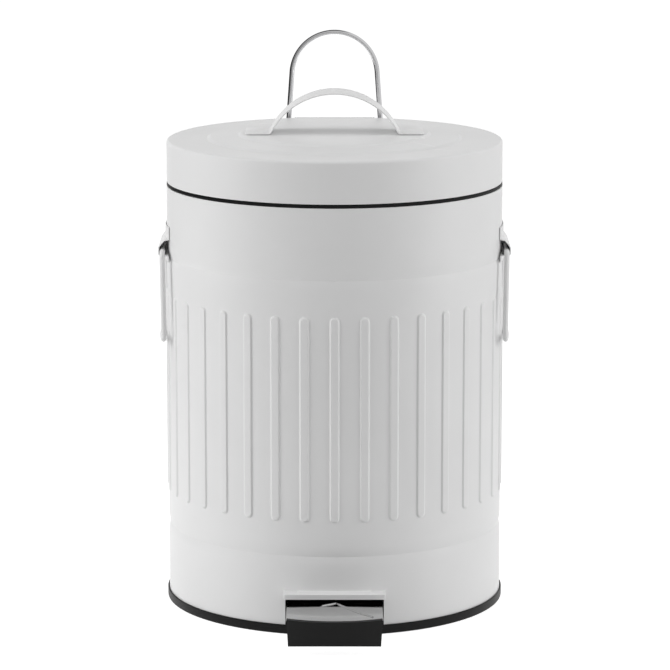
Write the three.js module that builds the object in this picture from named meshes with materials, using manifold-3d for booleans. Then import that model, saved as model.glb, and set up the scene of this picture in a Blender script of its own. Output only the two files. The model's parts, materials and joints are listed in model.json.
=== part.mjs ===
// Retro pedal bin with a ribbed steel shell, hinged lid and side handles.
// Millimetres, +Z up. The origin is on the floor at the axis of the shell,
// the pedal points to -Y and the lid hinge lies at +Y.

import * as THREE from 'three';
import { mergeVertices } from 'three/addons/utils/BufferGeometryUtils.js';
import Module from 'manifold-3d';

const wasm = await Module();
wasm.setup();

// ---------------------------------------------------------------- driving dimensions

// Clearances
const SEAT_GAP = 0.3; // where one piece sits on another
const PIN_GAP = 0.2; // round a pin or wire in its hole

// Base tray
const TRAY_FLOOR = 2; // thickness of the floor
const TRAY_RING_HEIGHT = 5.65; // ring that shows round the shell
const TRAY_LIP = 0.8; // thickness of that ring
const TRAY_GROOVE_FLOOR = 2.2; // floor of the groove that holds the shell
const TRAY_WALL = 1.8; // wall inside the shell
const TRAY_WALL_HEIGHT = 6.5;
const TRAY_RECESS = 1; // depth of the ring-shaped recess underneath
const TRAY_RECESS_FROM = 30;
const TRAY_RECESS_MARGIN = 14; // left between the recess and the shell

// Outer shell
const SHELL_RADIUS = 102.5;
const SHELL_HEIGHT = 254.6;
const SHEET = 0.8;
const RIB_COUNT = 36;
const RIB_WIDTH = 6.2;
const RIB_RELIEF = 0.9;
const RIB_BOTTOM = 66.1; // above the shell's lower edge
const RIB_TOP_MARGIN = 64.3; // below the shell's upper edge
const GROOVE_DEPTH = 0.8;
const GROOVE_HALF_WIDTH = 6.2;
const LOWER_GROOVE = 45.3; // above the shell's lower edge
const UPPER_GROOVE_MARGIN = 43; // below the shell's upper edge

// Pedal opening and the hood pressed out over it
const SLOT_CLEARANCE = 1; // beside the pedal
const HOOD_ABOVE_PEDAL = 5.5;
const HOOD_REACH = 4.7; // in front of the shell
const HOOD_LIP = 3.2; // height of its front face
const HOOD_SHOULDER = 0.6; // height of the raised middle
const HOOD_SHOULDER_HALF = 22.5;

// Rim ring
const RIM_THICKNESS = 1.8;
const RIM_WIDTH = 10; // from its bore to the outside of the shell
const RIM_SKIRT = 1; // thickness of the skirt inside the shell
const RIM_SKIRT_DEPTH = 9;
const RIM_LIP_DEPTH = 3;

// Lid
const LID_INSET = 0.1; // smaller in radius than the shell
const LID_SKIRT_HEIGHT = 25.3;
const LID_CORNER = 3;
const LID_PANEL_RISE = 3.7; // middle panel above the rim of the lid
const LID_INNER_STEP = 1;
const LID_OUTER_STEP = 1;
const LID_OUTER_FOOT = 0.3; // foot of the outer step above the rim of the lid
const LID_STEP_WIDTH = 3.5;
const LID_INNER_STEP_RADIUS = 56;
const LID_OUTER_STEP_RADIUS = 75.5;

// Strap handle on the lid
const STRAP_WIDTH = 28;
const STRAP_THICKNESS = 0.8;
const STRAP_INNER_RADIUS = 43;
const STRAP_RISE = 24.3; // inside of the arch above its feet
const STRAP_MARGIN = 0.23; // from the corners of its feet to the step round the panel

// Lid hinge
const BARREL_RADIUS = 3;
const BARREL_WALL = 0.8;
const HINGE_DROP = 3.6; // pin below the rim of the lid
const LID_OPEN_DEG = 75;
const BRACKET_HALF_WIDTH = 24;
const CENTRE_KNUCKLE_HALF = 10;
const LEAF_HALF_WIDTH = 20;
const LEAF_BOTTOM = 2.5; // above the lid's lower edge
const LEAF_TO_KNUCKLE = 3.7; // top of the leaf beside the knuckle, below the pin
const ROD_NOTCH_HALF = 6.5;
const PIN_HEAD_RADIUS = 2.9;
const PIN_HEAD = 1;
const FLANGE_HEIGHT = 30; // of the bracket on the shell
const FLANGE_TOP_BELOW_RIM = 4.3;
const RIVET_RADIUS = 1.6;
const RIVET_HEAD_RADIUS = 3.1;
const RIVET_HEAD = 1.4;
const BRACKET_RIVET_X = 16;
const BRACKET_RIVET_INSET = 8;
const LEAF_RIVET_X = 14;
const LEAF_RIVET_HEIGHT = 10.5; // above the lid's lower edge

// Push rod
const ROD_RADIUS = 1.5;
const ROD_OFFSET = 7.9; // in front of the hinge pin
const ROD_BEND = 2.5;
const ROD_ABOVE_TAIL = 6; // lower hook above the underside of the pedal's tail
const ARM_THICKNESS = 1.2;
const ROD_EYE_WALL = 2;
const CLIP_RADIUS = 2.6;
const CLIP_THICKNESS = 0.8;
const ROD_PAST_CLIP = 1.2;

// Pedal
const PIVOT_INSET = 14.5; // pedal axle behind the front of the shell
const PIVOT_Z = 14;
const AXLE_RADIUS = 2;
const PEDAL_SHEET = 1.5;
const PEDAL_TOP_Z = 20.9;
const PEDAL_HALF_WIDTH = 28.4;
const PEDAL_REACH = 44.7; // in front of the shell
const PEDAL_FRONT_RADIUS = 63;
const PEDAL_SHOULDER = 5.5; // behind the front of the shell, where the plate narrows to the arm
const PEDAL_ARM_LAP = 2; // arm and plate overlap by this, either side of the shoulder
const PEDAL_ARM_HALF = 13.7;
const PEDAL_ARM_LEAD = 8; // behind the pivot, where the arm starts to taper
const PEDAL_TAIL_HALF = 8;
const PEDAL_TAIL_Z = 7; // underside of the arm at its rear end
const PEDAL_TAIL_CLEARANCE = 1.4; // to the inside of the shell
const PEDAL_TAB_RADIUS = 4; // round the hole for the push rod
const PEDAL_TAB_LEAD = 1; // centre of the tab in front of that hole
const PEDAL_SPINE_RADIUS = 1.8; // stiffening bead along the arm
const PEDAL_SPINE_FROM = 12; // behind the pivot
const PEDAL_SPINE_TO = 20; // in front of the push rod
const PEDAL_LIP_DEPTH = 11.4; // front lip, from the top of the plate
const PEDAL_LIP_INSET = 2.9; // narrower than the plate, each side
const BEAD_RADIUS = 0.7; // pressed V on the plate
const BEAD_APEX = [0.9, 5.1]; // to the right, and in front of the shell
const BEAD_LEFT_END = [-7.4, 10.5];
const BEAD_RIGHT_END = [22.5, 35.5];
const PAD_SKIN = 3;
const PAD_BACK_SKIN = 1.5;
const PAD_INSET = 0.2; // narrower than the plate, each side
const PAD_TAPER = 1.2; // narrower at the bottom, each side
const PAD_FRONT_HEIGHT = 14.3;
const PAD_BOTTOM_SLOPE = 0.288;
const PAD_BACK_HEIGHT = 13.4;
const CHEEK_GAP = 0.5;
const CHEEK_THICKNESS = 1.2;
const CHEEK_RADIUS = 3.5;
const CHEEK_INSET = 2; // foot of a cheek from the ends of the base
const PEDAL_BRACKET_HALF = 25;
const PEDAL_BRACKET_LENGTH = 16;
const SCREW_X = 20.5;
const SCREW_RADIUS = 1.4;
const SCREW_HEAD_RADIUS = 2.8;
const SCREW_HEAD = 1.5;
const SCREW_DEPTH = 3; // below the plate of the bracket
const SCREW_BOSS_RADIUS = 3.2;

// Inner bucket
const BUCKET_RIM_GAP = 1; // round the bucket in the bore of the rim ring
const BUCKET_TAPER = 7.5; // smaller in radius at the bottom
const BUCKET_ABOVE_PEDAL = 6.1;
const BUCKET_CORNER = 3;
const BUCKET_WALL = 1.4;
const BUCKET_FLANGE = 4;
const BAIL_RADIUS = 1.4;
const BAIL_GAP = 0.4; // above the bucket's flange
const BAIL_EAR_HALF = 4;
const BAIL_EAR_THICKNESS = 1.5;
const BAIL_EAR_HEIGHT = 4.7;
const BAIL_BEND = 1.5;
const BAIL_LEAD = 8; // from the pivot to the start of the bow
const BAIL_END = 2; // wire inside the ear

// Rear carry handle
const CARRY_WIRE_RADIUS = 1.65;
const CARRY_BEHIND_PIN = 5.3;
const CARRY_ABOVE_FLANGE = 9.2; // pivot above the shelf of the hinge bracket
const CARRY_ARC_RADIUS = 27.2;
const CARRY_ABOVE_LID = 49.55; // top of the bow, at the centre of the wire
const CARRY_SPLAY_DEG = 4;
const CARRY_BEND = 4;
const CARRY_EAR_BACK = 4.5; // ear behind the wire
const CARRY_EAR_HALF_HEIGHT = 7;
const CARRY_EAR_CORNER = 3;
const CARRY_END = 1.7; // wire inside the ear

// Side handles
const EAR_WIRE_RADIUS = 1.65;
const EAR_BAR_MARGIN = 38.5; // pivot bar below the shell's upper edge
const EAR_DROP = 53.15; // from the pivot bar to the lower bar
const EAR_TOP_HALF = 26.3;
const EAR_BOTTOM_HALF = 34;
const EAR_TOP_BEND = 3.5;
const EAR_BOTTOM_BEND = 6;
const EAR_LEG_INSET = 1.05; // the legs lie nearer the shell than the pivot bar
const EAR_BOTTOM_BOW = 2; // the lower bar bows round the ribs
const EAR_SHEET = 0.6;
const EAR_TUNNEL_HALF = 22.5;
const EAR_TAB_HALF = 24;
const EAR_TAB_TOP = 14.8; // above the pivot bar
const EAR_TAB_BOTTOM = 6.8; // below the pivot bar
const EAR_ROOF_RISE = 5.4; // top of the tunnel above the room for the bar
const EAR_ROOF_LEDGE = 0.6; // reach of that top from the shell
const EAR_BEND_RISE = 2.6; // bend in its slope
const EAR_BEND_INSET = 1.4;
const EAR_FACE_RISE = 0.4; // upper edge of its face
const EAR_FACE_DROP = 0.2; // its lower edges, above and below the underside
const EAR_FOOT_INSET = 1;

// Facets
const SHELL_SEGMENTS = 72;
const LID_SEGMENTS = 60;
const TRAY_SEGMENTS = 60;
const RING_SEGMENTS = 48;
const PIN_SEGMENTS = 12;
const BARREL_SEGMENTS = 16;
const WIRE_SIDES = 8;

// ---------------------------------------------------------------- sizes that follow

const SHELL_BOTTOM_Z = TRAY_GROOVE_FLOOR + SEAT_GAP;
const SHELL_TOP_Z = SHELL_BOTTOM_Z + SHELL_HEIGHT;
const SHELL_INNER = SHELL_RADIUS - SHEET;
const RIB_TOP = SHELL_HEIGHT - RIB_TOP_MARGIN;
const UPPER_GROOVE = SHELL_HEIGHT - UPPER_GROOVE_MARGIN;
const SLOT_HALF_WIDTH = PEDAL_HALF_WIDTH + SLOT_CLEARANCE;
const HOOD_TOP_Z = PEDAL_TOP_Z + HOOD_ABOVE_PEDAL;
const RIM_BOTTOM_Z = SHELL_TOP_Z + SEAT_GAP;
const RIM_TOP_Z = RIM_BOTTOM_Z + RIM_THICKNESS;
const RIM_INNER_RADIUS = SHELL_RADIUS - RIM_WIDTH;
const LID_RADIUS = SHELL_RADIUS - LID_INSET;
const LID_BOTTOM_Z = RIM_TOP_Z + SEAT_GAP;
const LID_RIM_Z = LID_BOTTOM_Z + LID_SKIRT_HEIGHT;
const LID_PANEL_Z = LID_RIM_Z + LID_PANEL_RISE;
const STRAP_HALF_LENGTH = Math.sqrt(
  (LID_INNER_STEP_RADIUS - STRAP_MARGIN) ** 2 - (STRAP_WIDTH / 2) ** 2,
);
const PIN_RADIUS = BARREL_RADIUS - BARREL_WALL - PIN_GAP;
const PIN_Y = LID_RADIUS + SEAT_GAP + BARREL_RADIUS;
const PIN_Z = LID_RIM_Z - HINGE_DROP;
const WEB_BACK_Y = PIN_Y + BARREL_RADIUS;
const FLANGE_TOP_Z = SHELL_TOP_Z - FLANGE_TOP_BELOW_RIM;
const FLANGE_INNER = SHELL_RADIUS + SEAT_GAP;
const CARRY_Y = PIN_Y + CARRY_BEHIND_PIN;
const CARRY_PIVOT_Z = FLANGE_TOP_Z + CARRY_ABOVE_FLANGE;
const CARRY_APEX_Z = LID_PANEL_Z + CARRY_ABOVE_LID;
const FLANGE_OUTER = FLANGE_INNER + BARREL_WALL;

const PIVOT_Y = PIVOT_INSET - SHELL_RADIUS;
const PEDAL_FRONT_Y = -SHELL_RADIUS - PEDAL_REACH;
const PEDAL_SHOULDER_Y = PEDAL_SHOULDER - SHELL_RADIUS;
const PEDAL_LIP_HALF = PEDAL_HALF_WIDTH - PEDAL_LIP_INSET;
const PAD_HALF_WIDTH = PEDAL_HALF_WIDTH - PAD_INSET;
const PAD_FRONT_BOTTOM_Z = PEDAL_TOP_Z - PAD_FRONT_HEIGHT;
const PAD_BACK_BOTTOM_Z = PEDAL_TOP_Z - PAD_BACK_HEIGHT;

const HALF_OPEN = THREE.MathUtils.degToRad(LID_OPEN_DEG / 2);
const ROD_Y = PIN_Y - ROD_OFFSET;
const ROD_LOWER_Z = PEDAL_TAIL_Z + ROD_ABOVE_TAIL;
const LIFT_RADIUS = (2 * ROD_OFFSET) / (1 + Math.cos(HALF_OPEN));
const ROD_TRAVEL = 2 * LIFT_RADIUS * Math.sin(HALF_OPEN);
const ROD_UPPER_Z = PIN_Z - ROD_TRAVEL / 2;
const LIFT_PLAY = (LIFT_RADIUS * (1 - Math.cos(HALF_OPEN))) / 2;
const LIFT_HOLE = ROD_RADIUS + LIFT_PLAY + SEAT_GAP;
const EYE_X = ROD_BEND + 0.1;

const PEDAL_TRAVEL = ROD_TRAVEL / (ROD_Y - PIVOT_Y);
const PEDAL_UNDER_Z = PEDAL_TOP_Z - PEDAL_SHEET;
const PEDAL_ARC_Y = PEDAL_FRONT_Y + PEDAL_FRONT_RADIUS;

const RIM_BUCKET_Z = RIM_TOP_Z + SEAT_GAP;
const BUCKET_TOP_RADIUS = RIM_INNER_RADIUS - BUCKET_RIM_GAP;
const BUCKET_BOTTOM_RADIUS = BUCKET_TOP_RADIUS - BUCKET_TAPER;
const BUCKET_BOTTOM_Z = PEDAL_TOP_Z + BUCKET_ABOVE_PEDAL;
const BUCKET_RIM_RADIUS = BUCKET_TOP_RADIUS + BUCKET_FLANGE;
const BUCKET_TOP_Z = RIM_BUCKET_Z + BUCKET_WALL;
const BAIL_Z = BUCKET_TOP_Z + BAIL_GAP + BAIL_RADIUS;
const BAIL_ARC_RADIUS = BUCKET_RIM_RADIUS - BUCKET_FLANGE / 2;

const EAR_BAR_Z = SHELL_TOP_Z - EAR_BAR_MARGIN;
const EAR_BAR_X = SHELL_RADIUS + SEAT_GAP + EAR_WIRE_RADIUS;
const FAR = 400; // longer than the bin, for cutting tools

// ---------------------------------------------------------------- finishes

const finish = (color, roughness, metalness) =>
  new THREE.MeshStandardMaterial({ color, roughness, metalness });
const whitePaint = () => finish(0xdedede, 0.5, 0.0);
const blackPlastic = () => finish(0x1c1c1c, 0.55, 0.0);
const polishedSteel = () => finish(0xc8c8c8, 0.2, 1.0);
const zincSteel = () => finish(0xa8acb0, 0.4, 1.0);
const chrome = () => finish(0xd8d8d8, 0.08, 1.0);

// ---------------------------------------------------------------- solids

function signedVolume(positions, triangles) {
  const a = new THREE.Vector3();
  const b = new THREE.Vector3();
  const c = new THREE.Vector3();
  let volume = 0;
  for (let i = 0; i < triangles.length; i += 3) {
    a.fromArray(positions, 3 * triangles[i]);
    b.fromArray(positions, 3 * triangles[i + 1]);
    c.fromArray(positions, 3 * triangles[i + 2]);
    volume += a.dot(b.cross(c)) / 6;
  }
  return volume;
}

// A closed geometry as a solid whose faces point out.
function solid(geometry) {
  const bare = geometry.clone();
  bare.deleteAttribute('normal');
  bare.deleteAttribute('uv');
  const merged = mergeVertices(bare, 1e-4);
  const positions = merged.attributes.position.array;
  const index = merged.index.array;
  const kept = [];
  for (let i = 0; i < index.length; i += 3) {
    const [a, b, c] = [index[i], index[i + 1], index[i + 2]];
    if (a !== b && b !== c && c !== a) kept.push(a, b, c);
  }
  if (signedVolume(positions, kept) < 0) kept.reverse();
  const mesh = new wasm.Mesh({
    numProp: 3,
    vertProperties: Float32Array.from(positions),
    triVerts: Uint32Array.from(kept),
  });
  return new wasm.Manifold(mesh);
}

function geometryOf(body) {
  const mesh = body.getMesh();
  const geometry = new THREE.BufferGeometry();
  geometry.setAttribute('position', new THREE.BufferAttribute(mesh.vertProperties, 3));
  geometry.setIndex(new THREE.BufferAttribute(mesh.triVerts, 1));
  return geometry;
}

const join = (parts) => parts.reduce((sum, part) => sum.add(part));
const cut = (body, tools) => tools.reduce((rest, tool) => rest.subtract(tool), body);

function box(low, high) {
  const size = high.map((value, axis) => value - low[axis]);
  const geometry = new THREE.BoxGeometry(...size);
  geometry.translate(...high.map((value, axis) => (value + low[axis]) / 2));
  return solid(geometry);
}

// Profile points are [radius, z]; a ring's profile ends on its first point.
function turned(profile, segments) {
  const points = profile.map(([radius, z]) => new THREE.Vector2(radius, z));
  const geometry = new THREE.LatheGeometry(points, segments);
  geometry.rotateX(Math.PI / 2);
  return solid(geometry);
}

function ring(inner, outer, bottom, top, segments = RING_SEGMENTS) {
  const profile = [[inner, bottom], [outer, bottom], [outer, top], [inner, top], [inner, bottom]];
  return turned(profile, segments);
}

function upright(radius, x, y, bottom, top, segments = PIN_SEGMENTS) {
  const geometry = new THREE.CylinderGeometry(radius, radius, top - bottom, segments);
  geometry.rotateX(Math.PI / 2);
  geometry.translate(x, y, (top + bottom) / 2);
  return solid(geometry);
}

function alongX(radius, from, to, y, z, segments = PIN_SEGMENTS) {
  const geometry = new THREE.CylinderGeometry(radius, radius, to - from, segments);
  geometry.rotateZ(Math.PI / 2);
  geometry.translate((from + to) / 2, y, z);
  return solid(geometry);
}

const shapeOf = (points) => new THREE.Shape(points.map(([u, v]) => new THREE.Vector2(u, v)));

// An outline of [x, y] points, raised from bottom to top.
function plate(points, bottom, top) {
  const geometry = new THREE.ExtrudeGeometry(shapeOf(points), {
    depth: top - bottom,
    bevelEnabled: false,
  });
  geometry.translate(0, 0, bottom);
  return solid(geometry);
}

// An outline of [y, z] points, drawn out along X.
function sideways(points, from, to) {
  const geometry = new THREE.ExtrudeGeometry(shapeOf(points), {
    depth: to - from,
    bevelEnabled: false,
  });
  geometry.rotateX(Math.PI / 2);
  geometry.rotateZ(Math.PI / 2);
  geometry.translate(from, 0, 0);
  return solid(geometry);
}

// An outline of [x, z] points, drawn out along Y between -half and half.
function across(points, half) {
  const geometry = new THREE.ExtrudeGeometry(shapeOf(points), {
    depth: 2 * half,
    bevelEnabled: false,
  });
  geometry.rotateX(Math.PI / 2);
  geometry.translate(0, half, 0);
  return solid(geometry);
}

function wire(path, radius, steps, sides = WIRE_SIDES) {
  const section = new THREE.Shape();
  for (let i = 0; i < sides; i += 1) {
    const angle = (2 * Math.PI * (i + 0.5)) / sides;
    const [u, v] = [radius * Math.cos(angle), radius * Math.sin(angle)];
    if (i === 0) section.moveTo(u, v);
    else section.lineTo(u, v);
  }
  section.closePath();
  return new THREE.ExtrudeGeometry(section, { steps, bevelEnabled: false, extrudePath: path });
}

// A run of straight wire with rounded corners. Corners are {at, bend}.
function bentPath(start, corners, end) {
  const path = new THREE.CurvePath();
  let from = start;
  corners.forEach((corner, index) => {
    const next = index + 1 < corners.length ? corners[index + 1].at : end;
    const back = from.clone().sub(corner.at).normalize();
    const ahead = next.clone().sub(corner.at).normalize();
    const half = back.angleTo(ahead) / 2;
    const reach = corner.bend / Math.tan(half);
    const entry = corner.at.clone().addScaledVector(back, reach);
    const exit = corner.at.clone().addScaledVector(ahead, reach);
    path.add(new THREE.LineCurve3(from, entry));
    path.add(new THREE.QuadraticBezierCurve3(entry, corner.at, exit));
    from = exit;
  });
  path.add(new THREE.LineCurve3(from, end));
  return path;
}

// The points of a path at which its wire needs a section.
function stations(path, perBend) {
  const points = [path.curves[0].getPoint(0)];
  path.curves.forEach((curve) => {
    const count = curve.isLineCurve3 ? 1 : perBend;
    for (let i = 1; i <= count; i += 1) points.push(curve.getPoint(i / count));
  });
  return points;
}

// A path through given points whose own parameter runs evenly from point to point.
class Polyline3 extends THREE.Curve {
  constructor(points) {
    super();
    this.points = points;
  }

  getPoint(t, target = new THREE.Vector3()) {
    const place = t * (this.points.length - 1);
    const index = Math.min(Math.floor(place), this.points.length - 2);
    return target.lerpVectors(this.points[index], this.points[index + 1], place - index);
  }

  getPointAt(t, target) {
    return this.getPoint(t, target);
  }

  getTangent(t, target = new THREE.Vector3()) {
    const count = this.points.length - 1;
    const index = Math.round(t * count);
    const before = this.points[Math.max(index - 1, 0)];
    const after = this.points[Math.min(index + 1, count)];
    return target.subVectors(after, before).normalize();
  }

  getTangentAt(t, target) {
    return this.getTangent(t, target);
  }
}

function bentWire(points, radius, sides = WIRE_SIDES) {
  return solid(wire(new Polyline3(points), radius, points.length - 1, sides));
}

const at = (x, y, z) => new THREE.Vector3(x, y, z);

// ---------------------------------------------------------------- base tray

function baseTray() {
  const groove = SHELL_INNER - SEAT_GAP;
  const wallInner = groove - TRAY_WALL;
  const outer = SHELL_RADIUS + SEAT_GAP + TRAY_LIP;
  const lipInner = SHELL_RADIUS + SEAT_GAP;
  const recessTo = SHELL_RADIUS - TRAY_RECESS_MARGIN;
  const body = turned([
    [0, 0],
    [TRAY_RECESS_FROM, 0],
    [TRAY_RECESS_FROM, TRAY_RECESS],
    [recessTo, TRAY_RECESS],
    [recessTo, 0],
    [outer, 0],
    [outer, TRAY_RING_HEIGHT],
    [lipInner, TRAY_RING_HEIGHT],
    [lipInner, TRAY_GROOVE_FLOOR],
    [groove, TRAY_GROOVE_FLOOR],
    [groove, TRAY_WALL_HEIGHT],
    [wallInner, TRAY_WALL_HEIGHT],
    [wallInner, TRAY_FLOOR],
    [0, TRAY_FLOOR],
  ], TRAY_SEGMENTS);
  const bosses = [-1, 1].map((side) =>
    upright(SCREW_BOSS_RADIUS, side * SCREW_X, PIVOT_Y, TRAY_RECESS / 2, TRAY_FLOOR));
  const holes = [-1, 1].map((side) =>
    upright(SCREW_RADIUS + PIN_GAP, side * SCREW_X, PIVOT_Y, -1, TRAY_FLOOR + 1));
  return cut(join([body, ...bosses]), holes);
}

// ---------------------------------------------------------------- outer shell

// The outer line of the shell, lower edge to upper edge, moved in by inset.
function shellLine(inset) {
  const line = [[SHELL_RADIUS - inset, SHELL_BOTTOM_Z]];
  [LOWER_GROOVE, UPPER_GROOVE].forEach((height) => {
    const z = SHELL_BOTTOM_Z + height;
    [[-1, 0], [0, 1], [1, 0]].forEach(([along, depth]) => {
      line.push([SHELL_RADIUS - inset - depth * GROOVE_DEPTH, z + along * GROOVE_HALF_WIDTH]);
    });
  });
  line.push([SHELL_RADIUS - inset, SHELL_TOP_Z]);
  return line;
}

function shellRib(index) {
  const length = RIB_TOP - RIB_BOTTOM - RIB_WIDTH;
  const geometry = new THREE.CapsuleGeometry(RIB_WIDTH / 2, length, 2, 6);
  geometry.rotateY(Math.PI / 6);
  geometry.rotateX(Math.PI / 2);
  const depth = RIB_RELIEF + SHEET / 4;
  geometry.scale(depth / (RIB_WIDTH / 2), 1, 1);
  geometry.translate(SHELL_RADIUS - SHEET / 4, 0, SHELL_BOTTOM_Z + (RIB_TOP + RIB_BOTTOM) / 2);
  geometry.rotateZ((2 * Math.PI * index) / RIB_COUNT - Math.PI / 2);
  return solid(geometry);
}

function hood() {
  const front = -(SHELL_RADIUS + HOOD_REACH);
  const half = SLOT_HALF_WIDTH + SHEET;
  const back = -SHELL_RADIUS * Math.cos(Math.asin(half / SHELL_RADIUS)) + SHEET / 2;
  const block = box([-half, front, HOOD_TOP_Z - HOOD_LIP], [half, back, HOOD_TOP_Z]);
  const shoulder = across([
    [-HOOD_SHOULDER_HALF, HOOD_TOP_Z - SHEET],
    [HOOD_SHOULDER_HALF, HOOD_TOP_Z - SHEET],
    [HOOD_SHOULDER_HALF, HOOD_TOP_Z],
    [HOOD_SHOULDER_HALF - 2 * HOOD_SHOULDER, HOOD_TOP_Z + HOOD_SHOULDER],
    [2 * HOOD_SHOULDER - HOOD_SHOULDER_HALF, HOOD_TOP_Z + HOOD_SHOULDER],
    [-HOOD_SHOULDER_HALF, HOOD_TOP_Z],
  ], HOOD_REACH).intersect(
    box([-half, -HOOD_REACH, 0], [half, HOOD_REACH, FAR]),
  ).translate([0, -SHELL_RADIUS + HOOD_REACH / 2, 0]);
  return join([block, shoulder]).subtract(
    ring(0, SHELL_RADIUS - SHEET / 2, 0, FAR, SHELL_SEGMENTS),
  );
}

function outerShell() {
  const inner = shellLine(SHEET).reverse();
  const wall = turned([...shellLine(0), ...inner, shellLine(0)[0]], SHELL_SEGMENTS);
  const ribCore = ring(0, SHELL_RADIUS - SHEET / 2, 0, FAR, SHELL_SEGMENTS);
  const ribs = Array.from({ length: RIB_COUNT }, (_, index) => shellRib(index));
  const body = join([wall, join(ribs).subtract(ribCore), hood()]);
  const front = -(SHELL_RADIUS + HOOD_REACH);
  const slot = box(
    [-SLOT_HALF_WIDTH, front + SHEET, -1],
    [SLOT_HALF_WIDTH, -SHELL_RADIUS / 2, HOOD_TOP_Z - SHEET],
  );
  return cut(body, [slot, ...bracketRivetHoles()]);
}

// ---------------------------------------------------------------- rim ring

function rimRing() {
  const skirtOuter = SHELL_INNER - SEAT_GAP;
  const skirtInner = skirtOuter - RIM_SKIRT;
  const outer = LID_RADIUS;
  const lipOuter = RIM_INNER_RADIUS + RIM_SKIRT;
  const body = turned([
    [RIM_INNER_RADIUS, RIM_TOP_Z],
    [RIM_INNER_RADIUS, RIM_BOTTOM_Z - RIM_LIP_DEPTH],
    [lipOuter, RIM_BOTTOM_Z - RIM_LIP_DEPTH],
    [lipOuter, RIM_BOTTOM_Z],
    [skirtInner, RIM_BOTTOM_Z],
    [skirtInner, RIM_BOTTOM_Z - RIM_SKIRT_DEPTH],
    [skirtOuter, RIM_BOTTOM_Z - RIM_SKIRT_DEPTH],
    [skirtOuter, RIM_BOTTOM_Z],
    [outer, RIM_BOTTOM_Z],
    [outer, RIM_TOP_Z],
    [RIM_INNER_RADIUS, RIM_TOP_Z],
  ], TRAY_SEGMENTS);
  const rodHole = upright(ROD_RADIUS + 2 * SEAT_GAP, 0, ROD_Y, 0, FAR);
  return body.subtract(rodHole);
}

// ---------------------------------------------------------------- lid

// The upper line of the lid, middle to lower edge, moved in by inset.
function lidLine(inset) {
  const innerFoot = LID_PANEL_Z - LID_INNER_STEP;
  const outerFoot = LID_RIM_Z + LID_OUTER_FOOT;
  const outerHead = outerFoot + LID_OUTER_STEP;
  const corner = LID_CORNER - inset;
  const centre = [LID_RADIUS - LID_CORNER, LID_RIM_Z - LID_CORNER];
  const line = [
    [0, LID_PANEL_Z - inset],
    [LID_INNER_STEP_RADIUS, LID_PANEL_Z - inset],
    [LID_INNER_STEP_RADIUS + LID_STEP_WIDTH, innerFoot - inset],
    [LID_OUTER_STEP_RADIUS, outerHead - inset],
    [LID_OUTER_STEP_RADIUS + LID_STEP_WIDTH, outerFoot - inset],
  ];
  [90, 45, 0].forEach((degrees) => {
    const angle = THREE.MathUtils.degToRad(degrees);
    line.push([centre[0] + corner * Math.cos(angle), centre[1] + corner * Math.sin(angle)]);
  });
  return line;
}

function lid() {
  const body = turned([
    ...lidLine(0),
    [LID_RADIUS, LID_BOTTOM_Z],
    [LID_RADIUS - SHEET, LID_BOTTOM_Z],
    ...lidLine(SHEET).reverse(),
  ], LID_SEGMENTS);
  const notch = box(
    [-ROD_NOTCH_HALF, LID_RADIUS / 2, 0],
    [ROD_NOTCH_HALF, FAR, PIN_Z],
  );
  return cut(body, [notch, ...leafRivetHoles()]);
}

function lidStrap() {
  const foot = LID_PANEL_Z + SEAT_GAP;
  const centre = foot + STRAP_RISE - STRAP_INNER_RADIUS;
  const outerRadius = STRAP_INNER_RADIUS + STRAP_THICKNESS;
  const arc = (radius, z) => Math.asin((z - centre) / radius);
  const arch = (radius, z, steps) => Array.from({ length: steps + 1 }, (_, index) => {
    const start = arc(radius, z);
    const angle = start + ((Math.PI - 2 * start) * index) / steps;
    return [radius * Math.cos(angle), centre + radius * Math.sin(angle)];
  });
  const outline = [
    [STRAP_HALF_LENGTH, foot],
    [STRAP_HALF_LENGTH, foot + STRAP_THICKNESS],
    ...arch(outerRadius, foot + STRAP_THICKNESS, 20),
    [-STRAP_HALF_LENGTH, foot + STRAP_THICKNESS],
    [-STRAP_HALF_LENGTH, foot],
    ...arch(STRAP_INNER_RADIUS, foot, 20).reverse(),
  ];
  return across(outline, STRAP_WIDTH / 2);
}

// ---------------------------------------------------------------- rivets

// A rivet or its hole along the radius at the given x, from one radius to another.
function radialPin(radius, x, reference, z, from, to) {
  const geometry = new THREE.CylinderGeometry(radius, radius, to - from, PIN_SEGMENTS);
  geometry.translate(0, (from + to) / 2, 0);
  geometry.rotateZ(-Math.asin(x / reference));
  geometry.translate(0, 0, z);
  return solid(geometry);
}

// A rivet from the inside radius to the outside radius of what it holds.
function radialRivet(x, z, inside, outside) {
  const [under, over] = [inside - SEAT_GAP, outside + SEAT_GAP];
  const profile = [
    [0, under - RIVET_HEAD / 2],
    [RIVET_HEAD_RADIUS, under - RIVET_HEAD / 2],
    [RIVET_HEAD_RADIUS, under],
    [RIVET_RADIUS, under],
    [RIVET_RADIUS, over],
    [RIVET_HEAD_RADIUS, over],
    [RIVET_HEAD_RADIUS * 0.7, over + RIVET_HEAD * 0.75],
    [0, over + RIVET_HEAD],
  ].map(([radius, height]) => new THREE.Vector2(radius, height));
  const geometry = new THREE.LatheGeometry(profile, 10);
  geometry.rotateZ(-Math.asin(x / outside));
  geometry.translate(0, 0, z);
  return solid(geometry);
}

const SIDES = { left: -1, right: 1 };
const sideNames = Object.keys(SIDES);

// Name, x and z of each rivet that holds the bracket to the shell.
function bracketRivetPlaces() {
  const heights = {
    lower: FLANGE_TOP_Z - FLANGE_HEIGHT + BRACKET_RIVET_INSET,
    upper: FLANGE_TOP_Z - BRACKET_RIVET_INSET,
  };
  return sideNames.flatMap((side) => Object.entries(heights).map(([level, z]) =>
    [`bracket_rivet_${level}_${side}`, SIDES[side] * BRACKET_RIVET_X, z]));
}

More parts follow.
